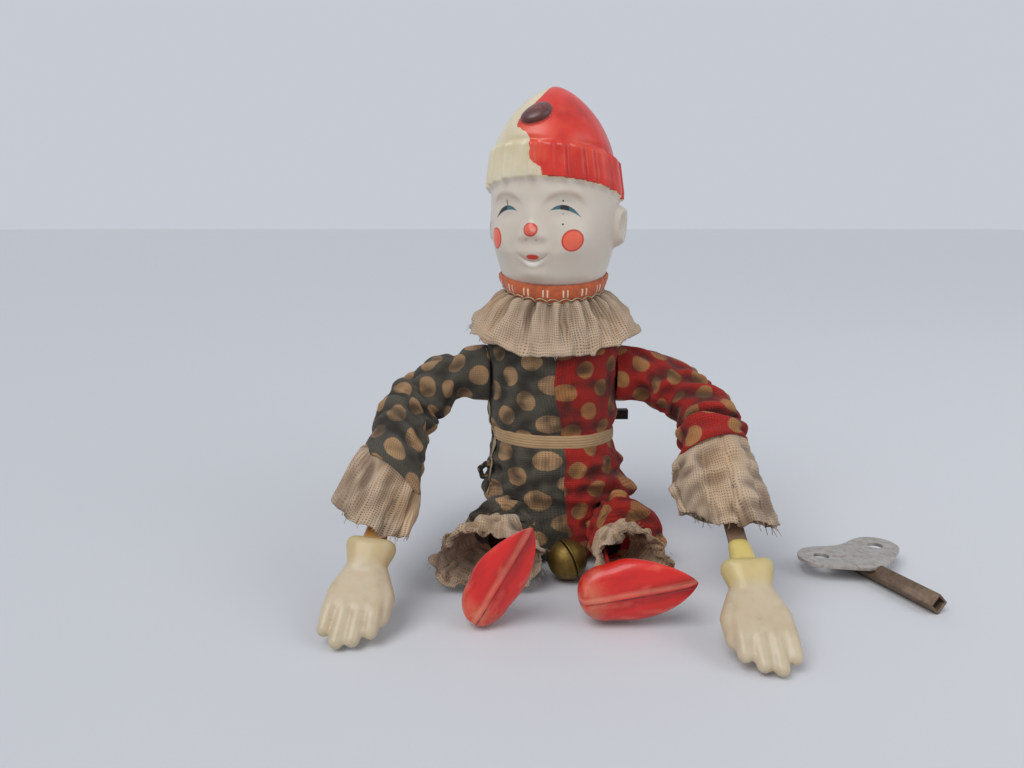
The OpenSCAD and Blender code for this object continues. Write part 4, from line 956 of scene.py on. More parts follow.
# Painted shade along the ruff's gathers, stored for the gauze finish
mark_valleys(ruff, creases(TAU * flat[:, 0], 30, 8) * np.clip(1.15 * flat[:, 1] - 0.15, 0, 1))
thick(ruff, GAUZE_WALL)
finish_piece(ruff, "ruff_gauze", "torso", gauze, ("ruff",))


def ruff_edge(u):
    start = np.array(ruff_place(np.array([u]), np.array([0.02]))).ravel()
    way = np.array([start[0], start[1], -18])
    return start, way / np.linalg.norm(way)


ruff_threads = shed_threads("ruff_threads", ruff_edge, 46, 11, 1.6, "torso")
hang(ruff, RUFF_CUT, "suit_red_cloth", threads=[ruff_threads])

# %% [markdown]
# A wrist frill is sewn into the sleeve's hem and falls open towards the hand, wider than it is deep. The
# one on the toy's right is turned back like a petal at its outer side. Both could be let out like the
# sleeves, but the formula keeps them clear of the arm strip that turns inside them.

# %% Wrist frills
def cuff(which, cut, seed, half_w, half_h, shift, hems, over, petal, tuck):
    """A wide flat tube of gauze. hems says how far it reaches down the forearm at the outer side, the middle
    and the inner side, over how much further on the upper face. A petal turns back, a tuck bulges."""
    arm = ARMS[which]
    first = arm["hem"] - 2.0
    outer, middle, inner = hems
    mouth = 7.2 * (1 + arm["flare"] * 0.8)

    def place(u, v):
        t = TAU * u
        s = 1 - v
        c = np.cos(t)
        hem = middle + np.where(c > 0, outer - middle, inner - middle) * np.abs(c) ** 1.6 + over * np.sin(t)
        belly = np.sin(math.pi * s)
        w = mouth + (half_w - mouth) * s ** 0.45 + tuck * belly * np.clip(-c, 0, 1) ** 2
        h = 6.9 + (half_h - 6.9) * s ** 0.7
        fold = (1.3 * pleats(t, 6, seed) - 1.5 * creases(t, 9, seed)) * s ** 0.5
        z = first + arm["slant"] * c * (1 - s) + (hem - first + raw_edge(t, seed + 3, 0.6)) * s
        z = z - petal * belly * np.clip(c, 0, 1) ** 2
        return forearm_place(arm, (w + fold) * c + shift * s, (h + fold) * np.sin(t), z)

    gauze_tube("cuff_" + which, 160, cut, place, crease=(7.0, 0.6), seed=seed, thread=2.0, body="arms",
               rests_on="sleeve_%s_cloth" % which)


cuff("left", (68, 23.6), seed=21, half_w=11.4, half_h=6.0, shift=-0.6, hems=(55.5, 53.5, 50.0), over=4.0,
     petal=0.0, tuck=2.0)
cuff("right", (58, 19), seed=33, half_w=10.8, half_h=5.8, shift=3.0, hems=(45.5, 51.5, 55.0), over=4.5,
     petal=8.0, tuck=0.0)

# %% [markdown]
# A trouser leg crosses the hip joint: its top is sewn to the suit and its hem rides on the leg. So it is
# one bunched tube that blends from the torso to the leg, and it is tied in where the ankle frill begins.

# %% Trouser legs
# x and half: middle and half width; hem_x and hem: the same at the frill's hem; start, reach and up: where
# the frill begins, its length and height; tie_x and tie: the ankle's tie; droop: how far the upper side sags
LEGS = {
    "left": dict(x=18.85, half=8.6, hem_x=20.6, hem=9.4, start=18.8, reach=17.0, up=11.4, flare=0.5,
                 tie_x=14.8, tie=3.7, droop=2.6),
    "right": dict(x=-14.0, half=8.8, hem_x=-18.6, hem=15.2, start=16.4, reach=17.5, up=12.0, flare=0.4,
                  tie_x=-15.0, tie=3.8, droop=5.0),
}
TROUSER_TOP, TROUSER_H, TIE_H = 9.2, 8.2, 3.9


def leg_place(x, up, far):
    """From the leg's own frame (x across, up, far forward from the hip wire) to the toy's."""
    return x, HIP[0] - far, HIP[1] + up


def trouser(which, cut, seed, bulge):
    leg = LEGS[which]
    side = math.copysign(1, leg["x"])
    end = leg["start"] + 1.4

    def place(u, v):
        t = TAU * u
        swell = np.sin(math.pi * np.clip(v * 1.05, 0, 1))
        far = TROUSER_TOP + (end - TROUSER_TOP) * v
        full = step(v, -0.1, 0.5)
        x = side * SLOT_X + (leg["x"] - side * SLOT_X) * full
        w = 2.8 + (leg["half"] - 3.2) * full + bulge * swell * np.clip(np.cos(t) * side, 0, 1)
        h = 6.6 + (TROUSER_H - 6.9) * full + bulge * 1.2 * swell * np.clip(np.sin(t), 0, 1)
        tied = step(v, 0.74, 1.0)
        x = x + (leg["tie_x"] - x) * tied
        w = w + (leg["tie"] - w) * tied
        h = h + (TIE_H - h) * tied
        over = 0.35 + 0.65 * np.clip(np.sin(t + 0.5 * side), 0, 1)
        rolls = sum(np.exp(-((v - at) / 0.09) ** 2) for at in (0.36, 0.62, 0.88)) - 0.5
        fold = 0.5 * np.sin(24 * v + 2.5 * np.sin(t + seed) + 2 * np.sin(3 * t)) * swell
        fold = fold + 1.2 * rolls * over * swell
        return leg_place(x + (w + fold) * np.cos(t), (h + fold) * np.sin(t), far)

    cloth = cloth_tube("trouser", which, 56, 26, cut, place, None, crease=(5.0, 1.0, 5, 9), ease=0.16,
                       stiff=1.4, push=1.5, sag=0.3)
    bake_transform(cloth)
    hang(cloth, cut, "leg_strip_" + which)


trouser("left", (60, 18), seed=1.0, bulge=2.4)
trouser("right", (58, 16.3), seed=2.4, bulge=2.6)

# %% [markdown]
# An ankle frill opens from the tie like a bell and lies on the floor, with its lip curled over and its
# upper side sagging on the leg. It rides on the leg alone. Like the wrist frills it is drawn by formula,
# because it has to stay clear of the leg strip and the slipper.

# %% Ankle frills
def ankle_frill(which, cut, seed):
    leg = LEGS[which]

    def place(u, v):
        t = TAU * u
        s = 1 - v
        lip = step(s, 0.7, 1.0) * (0.6 + 0.4 * np.sin(3 * t + seed)) * np.clip(np.sin(t) + 0.6, 0, 1)
        wave = (0.8 * pleats(t, 7, seed) - 0.8 * creases(t, 9, seed)) * s ** 0.6
        out = s ** leg["flare"]
        w = leg["tie"] + 0.4 + (leg["hem"] - leg["tie"]) * out + wave + 1.4 * lip
        tall = np.where(np.sin(t) > 0, leg["up"], TROUSER_H)
        h = TIE_H + 0.4 + (tall - TIE_H - 0.4) * out + 0.7 * wave + 1.2 * lip
        far = leg["start"] + (leg["reach"] + raw_edge(t, seed + 4, 0.5)) * s - 4.5 * lip
        fall = leg["droop"] * step(s, 0.35, 1.0) * np.clip(np.sin(t), 0, 1)
        across = leg["tie_x"] + (leg["hem_x"] - leg["tie_x"]) * out
        x, y, z = leg_place(across + w * np.cos(t), h * np.sin(t) - fall, far)
        return x, y, np.maximum(z, 0.35)

    gauze_tube("frill_" + which, 176, cut, place, crease=(5.5, 1.0), seed=seed, thread=1.6,
               body=which + "_leg", rests_on="trouser_%s_cloth" % which)


ankle_frill("left", (66, 15), seed=41)
ankle_frill("right", (82, 17), seed=52)

# %% [markdown]
# The belt is a narrow cotton tape with lengthwise ribs, tied tight over the suit. It is a strip wrapped
# once round the waist. Its ribs are real geometry, because they catch the light, and only its threads are
# bump.

# %% Belt tape
BELT_WIDE = 3.8
belt_finish = Finish("belt_tape", (188, 156, 116), 0.9, Sheen_Weight=0.2)
belt_finish.over((150, 116, 78), belt_finish.noise(5, 4) ** 2.0)
belt_finish.bump(belt_finish.noise(0.35, 2, stretch=(1, 1, 3)), 0.12, 0.6)


def belt_place(u, v):
    t = TAU * u
    rib = 0.14 * np.abs(np.sin(5 * math.pi * v))
    r = SUIT_R + 0.35 + rib - 0.25 * np.abs(2 * v - 1) ** 4
    dip = np.exp(-((1 - np.cos(t)) / 0.12) ** 2)
    z = BELT_Z + (v - 0.5) * (BELT_WIDE - 0.6 * dip) + 0.25 * np.sin(2 * t + 0.6) - 0.7 * dip
    return np.tanh(6 * np.cos(t)) * SUIT_OVAL + r * np.cos(t), r * np.sin(t), z


belt = cut_cloth("belt", 160, 30, (112, BELT_WIDE), belt_place)
thick(belt, TAPE_WALL)
finish_piece(belt, "belt_tape", "torso", belt_finish.material, ("belt",))

# %% [markdown]
# The braid that hides the neck's edge is an orange gimp with pairs of pale stitches and, at its foot, two
# scalloped metal threads. The band is a wrapped strip like the belt. Each thread is a thin torus led
# along a scalloped line, so that it stands off the band as the real one does.

# %% Neck braid
braid_finish = Finish("braid", (204, 96, 44), 0.7, Sheen_Weight=0.3)
braid_finish.over((120, 48, 22), braid_finish.noise(2, 3) ** 2.0 * 1.2)
across, along, _ = braid_finish.place("UV")
pair = near(abs(across.repeat(5.3 * MM)), 0.6 * MM, 0.2 * MM, 0.08 * MM)
middle = near(along, 2.3 * MM, 0.8 * MM, 0.1 * MM)
braid_finish.over((236, 212, 184), pair * middle * 0.9)
braid_finish.bump(braid_finish.noise(0.4, 2), 0.15, 0.7)
thread_finish = Finish("metal_thread", (206, 186, 150), 0.45, 0.6)
thread_finish.over((140, 112, 84), thread_finish.noise(1.2, 3))
SCALLOPS, BRAID_R, BRAID_Z = 26, 12.7, 75.4


def braid_place(u, v):
    t = TAU * u
    lift = neck_lift(t)
    bulge = 1.2 * np.sin(math.pi * v) ** 0.6 + 0.25 * np.abs(np.cos(SCALLOPS * t / 2))
    r = BRAID_R + bulge + v * (0.5 + 2.0 * lift)
    return r * np.cos(t), r * np.sin(t), BRAID_Z + 2.8 * lift + 5.0 * v


braid = cut_cloth("braid", 256, 14, (85, 4.2), braid_place)
thick(braid, TAPE_WALL)
finish_piece(braid, "neck_braid_gimp", "torso", braid_finish.material, ("neck_braid",))


def wire_ring(radius, place):
    """A thin round thread along a closed line: place gives the line for an angle."""
    ring = add(bpy.ops.mesh.primitive_torus_add, major_segments=256, minor_segments=6, major_radius=1,
               minor_radius=0.1)
    raw = points(ring)
    t = np.arctan2(raw[:, 1], raw[:, 0])
    out = radius * (np.hypot(raw[:, 0], raw[:, 1]) - 1) * 10
    x, y, z = place(t)
    put(ring, x + out * np.cos(t), y + out * np.sin(t), z + radius * raw[:, 2] * 10)
    return ring


for k, level in enumerate((0.02, 0.2)):
    def scallop(t, level=level, k=k):
        x, y, z = braid_place(t / TAU, np.full_like(t, level))
        out = 1 + (0.35 + 0.15 * np.cos(SCALLOPS * t)) / np.hypot(x, y)
        return x * out, y * out, z + 0.7 * np.abs(np.sin(SCALLOPS * t / 2 + 0.8 * k)) - 0.4

    finish_piece(wire_ring(0.22, scallop), "braid_thread_%d" % (k + 1), "torso",
                 thread_finish.material)

# %% [markdown]
# The head is blow-moulded celluloid: one smooth shell with the cap, its ribbed band, the button and the
# features all in the mould. It could be sculpted by hand, but a formula can be corrected against the
# photograph. The profile comes first: a width and a depth for every height.

# %% Head profile
HEAD_TURN, NECK_WIDE, NECK_FOOT, JAW_Z, CHIN_Z, BROW_Z = -23.0, 11.8, 71.0, 80.0, 80.5, 107
BAND_LOW, BAND_TOP, CAP_FOOT, CAP_TOP = 104.6, 115.7, 117.3, 134.5
LOW_TILT, TOP_TILT = (4.6, -0.1), (2.9, -0.52)


def head_size(z):
    """Half width and half depth of the plain head at a height."""
    s = np.clip((z - CHIN_Z) / (BROW_Z - CHIN_Z), 0, 1)
    grow = np.sin(np.radians(np.minimum(90, 38 + 75 * s))) ** 2
    chin = np.sqrt(1 - (1 - np.clip((z - JAW_Z) / 3.2, 0, 1)) ** 2)
    cap = (1 - np.clip((z - CAP_FOOT) / (CAP_TOP - CAP_FOOT), 0, 1) ** 1.35) ** 0.64
    over = np.clip((z - BROW_Z) / (CAP_FOOT - BROW_Z), 0, 1)
    wide = np.where(z < BROW_Z, NECK_WIDE + 6.4 * grow * chin, (18.2 - 1.6 * over) * cap)
    deep = np.where(z < BROW_Z, NECK_WIDE + 5.4 * np.minimum(1, 1.25 * grow) * chin,
                    (17.2 - 0.6 * over) * cap)
    return wide, deep


print("head from", NECK_FOOT, "to", CAP_TOP, "mm")

# %% [markdown]
# Then come the features. Each is a soft bump or dent at an angle from the face, in degrees, and a height:
# nose, lips, chin, cheeks, eye hollows and ears, then the ribs of the cap's band and the button.

# %% Head features
SMILE_Z, SMILE_BOW, SMILE_WIDE = 87.2, 2.2, 16
# The button: its angle and height, millimetres a degree, half width, half height, slope a degree
BUTTON_A, BUTTON_Z, BUTTON_ARC, BUTTON_W, BUTTON_H, BUTTON_LEAN = -1.5, 126.2, 0.2, 3.6, 3.0, 0.035


def bump_at(a, z, middle, height, wide, tall):
    return np.exp(-((a - middle) / wide) ** 2 - ((z - height) / tall) ** 2)


def smile(a):
    return SMILE_Z + SMILE_BOW * (a / SMILE_WIDE) ** 2


def head_relief(a, z, row):
    """How far the features stand out, for an angle from the face in degrees and a height."""
    out = 1.8 * bump_at(a, z, 0, 95.3, 8, 2.3) + 0.75 * bump_at(a, z, 0, 99, 6.5, 3.4)
    out += 0.7 * bump_at(a, z, 0, 89.6, 17, 2.4) + 0.9 * bump_at(a, z, 0, 83.6, 14, 1.9)
    line = np.exp(-((z - smile(a)) / 0.45) ** 2) * step(-np.abs(a), -18, -12)
    lip = np.exp(-((z - smile(a) + 1.15) / 0.8) ** 2) * step(-np.abs(a), -15, -8)
    out += 0.4 * lip - 0.5 * line
    for side in (-1, 1):
        b = a * side
        out += 0.8 * bump_at(b, z, 9, 93.7, 4.2, 1.3) + 1.0 * bump_at(b, z, 38, 92.4, 15, 4.2)
        out += 0.45 * bump_at(b, z, 27, 105, 17, 1.5) - 0.75 * bump_at(b, z, 27, 100.8, 13, 2.7)
        out += 0.6 * bump_at(b, z, 28, 100.9, 9, 1.2) - 0.35 * bump_at(b, z, 21, 90.6, 2.6, 2.2)
        ear = np.hypot((b - 97) / 10.5, (z - 96.4) / 6.0)
        shell = np.hypot((b - 94) / 6.2, (z - 96.9) / 3.9)
        out += 2.7 * step(-ear, -1.1, -0.72) - 1.7 * step(-shell, -1.05, -0.5)
    band = step(row, BAND_LOW - 0.5, BAND_LOW + 0.5) * step(-row, -BAND_TOP - 0.7, -BAND_TOP + 0.7)
    ribs = 0.42 * np.cos(np.radians(27 * a)) + 0.28 * np.cos(np.radians(16 * a + 40))
    ribs = ribs + 0.2 * np.cos(np.radians(41 * a))
    out += band * (0.95 + ribs)
    out += 0.35 * step(row, BAND_TOP, CAP_FOOT + 1) * step(-row, -127, -118) * np.cos(np.radians(5 * a + 60))
    button = np.hypot((a - BUTTON_A) * BUTTON_ARC / BUTTON_W,
                      (z - BUTTON_Z - BUTTON_LEAN * (a - BUTTON_A)) / BUTTON_H)
    out += 2.4 * np.sqrt(np.clip(1 - button ** 2.4, 0, 1))
    return out


print("nose stands out", round(float(head_relief(np.array(0.0), np.array(95.3), np.array(95.3))), 2), "mm")

# %% [markdown]
# The mesh starts as a dense ball. Each ring of the ball is led to a height on the head's profile, spaced
# by the way along it, and the features are then pushed in or out, as with a sculpting brush. The cap sits
# askew, so its rings tilt with it. The map is set to the angle and the height, for the paint to read.

# %% Head form
MAP_FOOT, MAP_TALL = 70, 65


def ball_mesh(name, around, rows):
    """A ball, and for each point its share of the way round and of the way up along the surface."""
    obj = add(bpy.ops.mesh.primitive_uv_sphere_add, segments=around, ring_count=rows, radius=1)
    obj.name = name
    spot = point_uv(obj)
    spot[:, 1] = np.arccos(np.clip(-points(obj)[:, 2], -1, 1)) / math.pi
    return obj, spot


head, spot = ball_mesh("head", 216, 190)
levels = np.linspace(NECK_FOOT, CAP_TOP, 900)
outline = head_size(levels)[0]
walk = np.concatenate([[0], np.cumsum(np.hypot(np.diff(levels), np.diff(outline)))]) + NECK_WIDE
reach = spot[:, 1] * walk[-1]
row = np.interp(reach, walk, levels)
a = 360 * (spot[:, 0] - 0.5)
high = step(row, BAND_LOW, BAND_TOP)
front, aside = [low + (top - low) * high for low, top in zip(LOW_TILT, TOP_TILT)]
tilt = front * np.cos(np.radians(a)) + aside * np.sin(np.radians(a))
share = np.where(row < BAND_LOW, np.clip((row - CHIN_Z) / (BAND_LOW - CHIN_Z), 0, 1) ** 4,
                 np.clip((CAP_TOP - row) / (CAP_TOP - BAND_TOP), 0, 1))
z = row + tilt * share
floor_share = np.clip(reach / NECK_WIDE, 0, 1)
wide, deep = head_size(row)
out = head_relief(a, z, row) * step(row, 79, 82) * step(-row, -CAP_TOP, -CAP_TOP + 1)
way = np.radians(a)
x = (wide * floor_share + out) * np.sin(way)
y = -(deep * floor_share + out) * np.cos(way)
c, s = cos_sin(HEAD_TURN)
put(head, x * c - y * s, x * s + y * c, z)
uv, corner = corner_uv(head)
uv[:, 1] = (z[corner] - MAP_FOOT) / MAP_TALL
set_corner_uv(head, uv)
in_edit(head, face_out)
print("head rings up to", round(z.max(), 1), "mm")

# %% [markdown]
# The paint follows the moulding, so its map is the head's own: the angle from the face one way, the
# height the other. Every mark is a soft-edged shape on that map. The skin is a warm white that has
# yellowed. One wavy line parts the cream and the red of the cap, and the red is sprayed unevenly. A
# picture could be wrapped on the head, but shapes from nodes stay sharp at any distance.

# %% Skin and cap paint
skin = Finish("face_celluloid", (221, 211, 196), 0.36, Subsurface_Weight=0.06, Coat_Weight=0.25,
              Coat_Roughness=0.3)
map_a, map_z, _ = skin.place("UV")
face_a = (map_a - 0.5) * 360
face_z = map_z * MAP_TALL + MAP_FOOT
ARC = 0.3


def spread(at_a, at_z, tall=1.0):
    """Distance in millimetres from a point on the head's map."""
    return ((face_a - at_a) * ARC).far((face_z - at_z) * (1 / tall))


skin.over((204, 188, 170), skin.noise(16, 4) ** 2.0 * 1.1)
skin.over((192, 172, 152), spread(0, 91).within(9, 6) * skin.noise(5, 3) * 0.45)
turned = face_a * (math.pi / 180)
edge_z = turned.math("COSINE") * LOW_TILT[0] + turned.math("SINE") * LOW_TILT[1] + BAND_LOW
cap_part = (edge_z - face_z).within(-0.1, 0.2)
skin.over((220, 205, 170), cap_part)
skin.over((236, 226, 200), cap_part * (skin.noise(8, 4) * 2.2 - 0.8).held(0.7))
skin.over((178, 160, 124), cap_part * near(face_z, edge_z, 0.3, 0.6) * 0.5)
waver = skin.noise(2.0, 3) - 0.5
split = face_z.curve([(104, 9), (111.6, 8), (112.4, 5), (114, -0.7), (118.4, -2), (120.5, -6.8), (122, -14),
                      (123.6, -21.5), (126, -20), (130, -10), (132, -7.3), (135, -7)])
red_part = (split + waver * 6 - face_a).within(0, 0.8)
red_part = red_part * (edge_z + waver * 1.3 + 0.5 - face_z).within(0, 0.12)
skin.over((228, 50, 28), red_part)
skin.over((182, 22, 14), red_part * (skin.noise(7, 4, stretch=(1, 1, 0.4)) * 2.8 - 1.1).held(0.8))
skin.over((240, 106, 72), red_part * (skin.noise(13, 3) * 2.8 - 1.35).held(0.7))
skin.over((120, 30, 22), red_part * (face_z - edge_z).within(0.75, 0.25) * 0.55)
beside = face_a - BUTTON_A
above = face_z - BUTTON_Z - beside * BUTTON_LEAN
button = (beside * (BUTTON_ARC / BUTTON_W)).far(above * (1 / BUTTON_H)).within(1.0, 0.05)
skin.over((86, 42, 36), button)
scratch = near(skin.noise(1.1, 2, rough=0.3), 0.5, 0.012, 0.012) * (face_z * -1).within(-126.8, 0.8)
skin.over((226, 96, 72), button * scratch)
print("cap painted above", BAND_LOW, "mm")

# %% [markdown]
# The face was painted by hand with a few colours: red discs on the cheeks and the nose, blue crescents
# for the lids with a dark pupil, dots above and below one eye and a stroke over the other, faint brown
# brows and red lips in a smile. Each is a disc or the space between two curves. A disc's darker rim is
# where the wet paint pooled.

# %% Face paint
for at_a, at_z in ((35.8, 92.75), (-42, 93.2)):
    skin.over((196, 54, 42), spread(at_a, at_z).within(2.95, 0.16))
    skin.over((238, 92, 64), spread(at_a, at_z).within(2.55, 0.16))
    skin.over((244, 122, 92), spread(at_a, at_z).within(2.4, 0.3) * skin.noise(1.6, 3) * 0.7)
skin.over((202, 60, 46), spread(0, 95.6).within(1.85, 0.14))
skin.over((236, 104, 82), spread(0, 95.6).within(1.48, 0.14))
# Painted highlight: a pale spot on the nose's red disc
skin.over((246, 178, 158), spread(2.6, 95.6).within(0.6, 0.4) * 0.7)
for side in (1, -1):
    off = (face_a * side - 28) * ARC
    upper = off * off * -0.13 - off * 0.14 + 101.95
    lower = off * off * -0.062 - off * 0.18 + 100.75
    lid = (face_z - upper).within(0, 0.12) * (lower - face_z).within(0, 0.12)
    brow = near(face_z, off * off * -0.085 + 105.1, 0.7, 0.8) * near(off, 0, 4.8, 1.8)
    skin.over((174, 146, 126), brow * 0.6)
    skin.over((56, 106, 116), lid)
    dark = near(off, 0, 1.15, 0.25) if side > 0 else (off * -1).within(0.3, 0.25)
    skin.over((26, 26, 32), lid * dark)
    skin.over((44, 54, 62), near(face_z, upper, 0.1, 0.1) * near(off, 0, 2.9, 0.6) * 0.8)
for dot_z, dot_r in ((103.1, 0.24), (99.7, 0.14), (97.0, 0.26)):
    skin.over((30, 28, 32), spread(26.6, dot_z).within(dot_r, 0.08))
skin.over((30, 28, 32), near(face_a, -27, 0.5, 0.3) * near(face_z, 102.8, 0.75, 0.12))
smile_line = face_a * face_a * (SMILE_BOW / SMILE_WIDE ** 2) + SMILE_Z
skin.over((148, 110, 92), near(face_z, smile_line, 0.12, 0.16) * near(face_a, 0, 13, 4) * 0.7)
skin.over((240, 232, 224), near(face_z, smile_line - 1.1, 0.45, 0.4) * near(face_a, 0, 7, 4) * 0.8)
skin.over((212, 60, 48), spread(0.5, 88.3, 0.4).within(1.8, 0.25))
# Painted shade at the nostrils, either side under the nose
for side in (1, -1):
    skin.over((150, 116, 98), spread(4.5 * side, 92.9).within(0.35, 0.4) * 0.5)
skin.rough(skin.noise(4, 3), 0.28, 0.46)
skin.bump(skin.noise(3, 3), 0.06, 0.5)
finish_piece(head, "head_celluloid", "head", skin.material, ("head",))

# %% [markdown]
# The hands are solid little mouldings with a flared gauntlet. Each is built like a mitten over bones:
# every bone is the hull of a few balls, and a voxel remesh melts them into one skin, which is then
# smoothed.

# %% Hand bones
FINGER_PITCH, FINGER_R, HAND_REACH, PALM_FROM, PALM_TO = 3.3, 1.85, 25.0, 5.0, 13.0
# The rim of the gauntlet has three soft lobes: how far out, which way round, how far down the hand
GAUNTLET = [(4.7 + 0.7 * math.cos(3 * a - 1.6), a, 0.9 - 0.7 * math.cos(3 * a - 1.6))
            for a in np.linspace(0, TAU, 30)]


def hull(*balls):
    """The tightest skin round some balls, each given by its middle and radius."""
    solid = join("hull", [add(bpy.ops.mesh.primitive_uv_sphere_add, segments=18, ring_count=12, radius=r,
                              location=at) for at, r in balls])
    in_edit(solid, bpy.ops.mesh.convex_hull)
    return solid


def hand_bones():
    half = 1.5 * FINGER_PITCH
    split = PALM_TO + 4.5
    made = [hull(((-0.9, 0, -6.4), 1.9), ((0.9, 0, -6.4), 1.9), ((-1.3, 0, 2.5), 2.4), ((1.3, 0, 2.5), 2.4))]
    rim = [((r * math.cos(a), 0.82 * r * math.sin(a), z), 1.5) for r, a, z in GAUNTLET]
    made.append(hull(*rim, ((-1.2, 0, 7.0), 3.0), ((1.2, 0, 7.0), 3.0)))
    made.append(hull(((-1.8, 0, PALM_FROM + 0.5), 3.0), ((1.8, 0, PALM_FROM + 0.5), 3.0),
                     ((-half, 0.4, PALM_TO), 2.5), ((half, 0.4, PALM_TO), 2.5),
                     ((-half * 1.03, 0.9, split - 1), 2.0), ((half * 1.03, 0.9, split - 1), 2.0)))
    for k, share in enumerate((0.86, 0.96, 1.0, 0.9)):
        x = (k - 1.5) * FINGER_PITCH
        made.append(hull(((x * 1.03, 0.8, PALM_TO + 1), 2.1), ((x * 1.06, 0.9, split), 2.15),
                         ((x * 1.1, 0.1, HAND_REACH * share), FINGER_R)))
    knuckle = (-half - 1.6, -0.5, PALM_TO - 0.5)
    made.append(hull(((-half + 1.6, -0.3, PALM_FROM + 2), 2.8), (knuckle, 2.5)))
    made.append(hull((knuckle, 2.5), ((-half - 1.9, -0.8, PALM_TO + 4.8), FINGER_R + 0.1)))
    return made


print("gauntlet of", len(GAUNTLET), "balls")

# %% [markdown]
# The celluloid of the hands has yellowed, most at the gauntlet, and the stem that sits on the arm strip
# is amber. The finish measures the way along the forearm, so that both tints follow the hand wherever it
# is placed.

# %% Hands
def hand_finish(which, arm, cuff_colour, stem_colour):
    finish = Finish("hand_" + which, (206, 190, 162), 0.4, Subsurface_Weight=0.08, Coat_Weight=0.15)
    finish.over((188, 164, 130), finish.noise(8, 4) ** 2.0 * 1.2)
    start = np.array(forearm_place(arm, 0, 0, arm["seat"])) * MM
    way = np.array(forearm_place(arm, 0, 0, arm["seat"] + 1)) * MM - start
    way /= np.linalg.norm(way)
    x, y, z = finish.place()
    along = x * way[0] + y * way[1] + z * way[2] - float(start @ way) + finish.noise(3, 2) * (2 * MM)
    finish.over(cuff_colour, along.within(6.5 * MM, 2 * MM) * 0.8)
    finish.over(stem_colour, along.within(-0.4 * MM, 1.2 * MM) * 0.9)
    finish.over((158, 132, 98), finish.noise(2.5, 5) ** 5.0 * 1.5)
    finish.rough(finish.noise(5, 3), 0.32, 0.5)
    finish.bump(finish.noise(2.2, 3), 0.08, 0.5)
    return finish.material


def hand(which, cuff_colour, stem_colour):
    arm = ARMS[which]
    piece = join("hand_" + which, hand_bones())
    apply(piece, "REMESH", mode="VOXEL", voxel_size=0.34, adaptivity=0)
    apply(piece, "SMOOTH", factor=0.5, iterations=24)
    local = points(piece)
    put(piece, *forearm_place(arm, local[:, 0], local[:, 1], local[:, 2] + arm["seat"]))
    in_edit(piece, face_out)
    finish_piece(piece, "hand_%s_celluloid" % which, "arms",
                 hand_finish(which, arm, cuff_colour, stem_colour), ("hand_" + which,))


hand("left", cuff_colour=(206, 184, 118), stem_colour=(216, 194, 112))
hand("right", cuff_colour=(196, 172, 122), stem_colour=(186, 124, 48))

# %% [markdown]
# The slippers are leaf-shaped shells with a seam like a leaf's rib along the sole, where the two halves
# of the mould met. Each is a ball led onto the leaf: its poles are the heel and the toe, and each ring in
# between gets the leaf's width and height at that place.

# %% Slipper form
SHOE_H, TOE_LEN, HEEL_BACK, HEEL_R, BALL_Y, BALL_W = 10.0, 20.3, 1.8, 7.1, 4.0, 7.9
# Each slipper: ankle across, the way its toe points, how slim it is
ANKLES = {"left": (12.8, 80.0, 1.0), "right": (-17.425, 30.0, 0.82)}
ANKLE_Y = HIP[0] - 44.0


def shoe_shape(s, t, slim):
    y = -HEEL_BACK - HEEL_R + (TOE_LEN + HEEL_BACK + HEEL_R) * s
    heel = np.sqrt(np.clip(HEEL_R ** 2 - (y + HEEL_BACK) ** 2, 0, None))
    swell = np.sin(math.pi / 2 * np.clip((y + HEEL_BACK) / (BALL_Y + HEEL_BACK), 0, 1)) ** 2
    toe = (1 - np.clip((y - BALL_Y) / (TOE_LEN - BALL_Y), 0, 1) ** 1.8) ** 0.75
    w = np.where(y < BALL_Y, HEEL_R + (BALL_W - HEEL_R) * swell, BALL_W * toe)
    w = np.where(y < -HEEL_BACK, heel, w)
    fall = np.sin(math.pi / 2 * np.clip((s - 0.4) / 0.6, 0, 1)) ** 1.3
    end = np.clip(np.minimum(s / 0.05, (1 - s) / 0.03), 0, 1) ** 0.5
    top = SHOE_H * np.where(s < 0.4, 0.86 - 0.1 * s, 0.82 - 0.66 * fall)
    low = 1.4 * s ** 4
    across = np.sign(np.cos(t)) * np.abs(np.cos(t)) ** 0.92
    up = np.sign(np.sin(t)) * np.abs(np.sin(t)) ** 0.92
    x = -w * slim * across
    z = -SHOE_H + low + (top - low) / 2 * (1 + up * end)
    seam = step(s, 0.06, 0.2) * step(-s, -0.99, -0.9)
    rib = np.exp(-((x + 0.5) / 0.45) ** 2) * seam
    dent = np.exp(-((x - 3.2) / 1.8) ** 2 - ((y - 2) / 7) ** 2)
    groove = np.exp(-((x - 0.35) / 0.3) ** 2) * seam
    z = z + np.where(up < 0, -0.35 * rib + 0.3 * groove + 0.7 * dent, 0.12 * rib)
    rho = np.hypot(x, y)
    z = z + np.where(up > 0, 1.0 * step(-rho, -6.5, -3.5) + 1.6 * step(-rho, -2.6, -1.7), 0)
    return x, y, z


print("slippers", HEEL_BACK + HEEL_R + TOE_LEN, "mm long")

# %% [markdown]
# The red is sprayed on. It is streaked along the leaf and rubbed through at the heel. Beside the seam it
# is rubbed pale, with a painted highlight along that line. The upper side is left cream round the ankle.

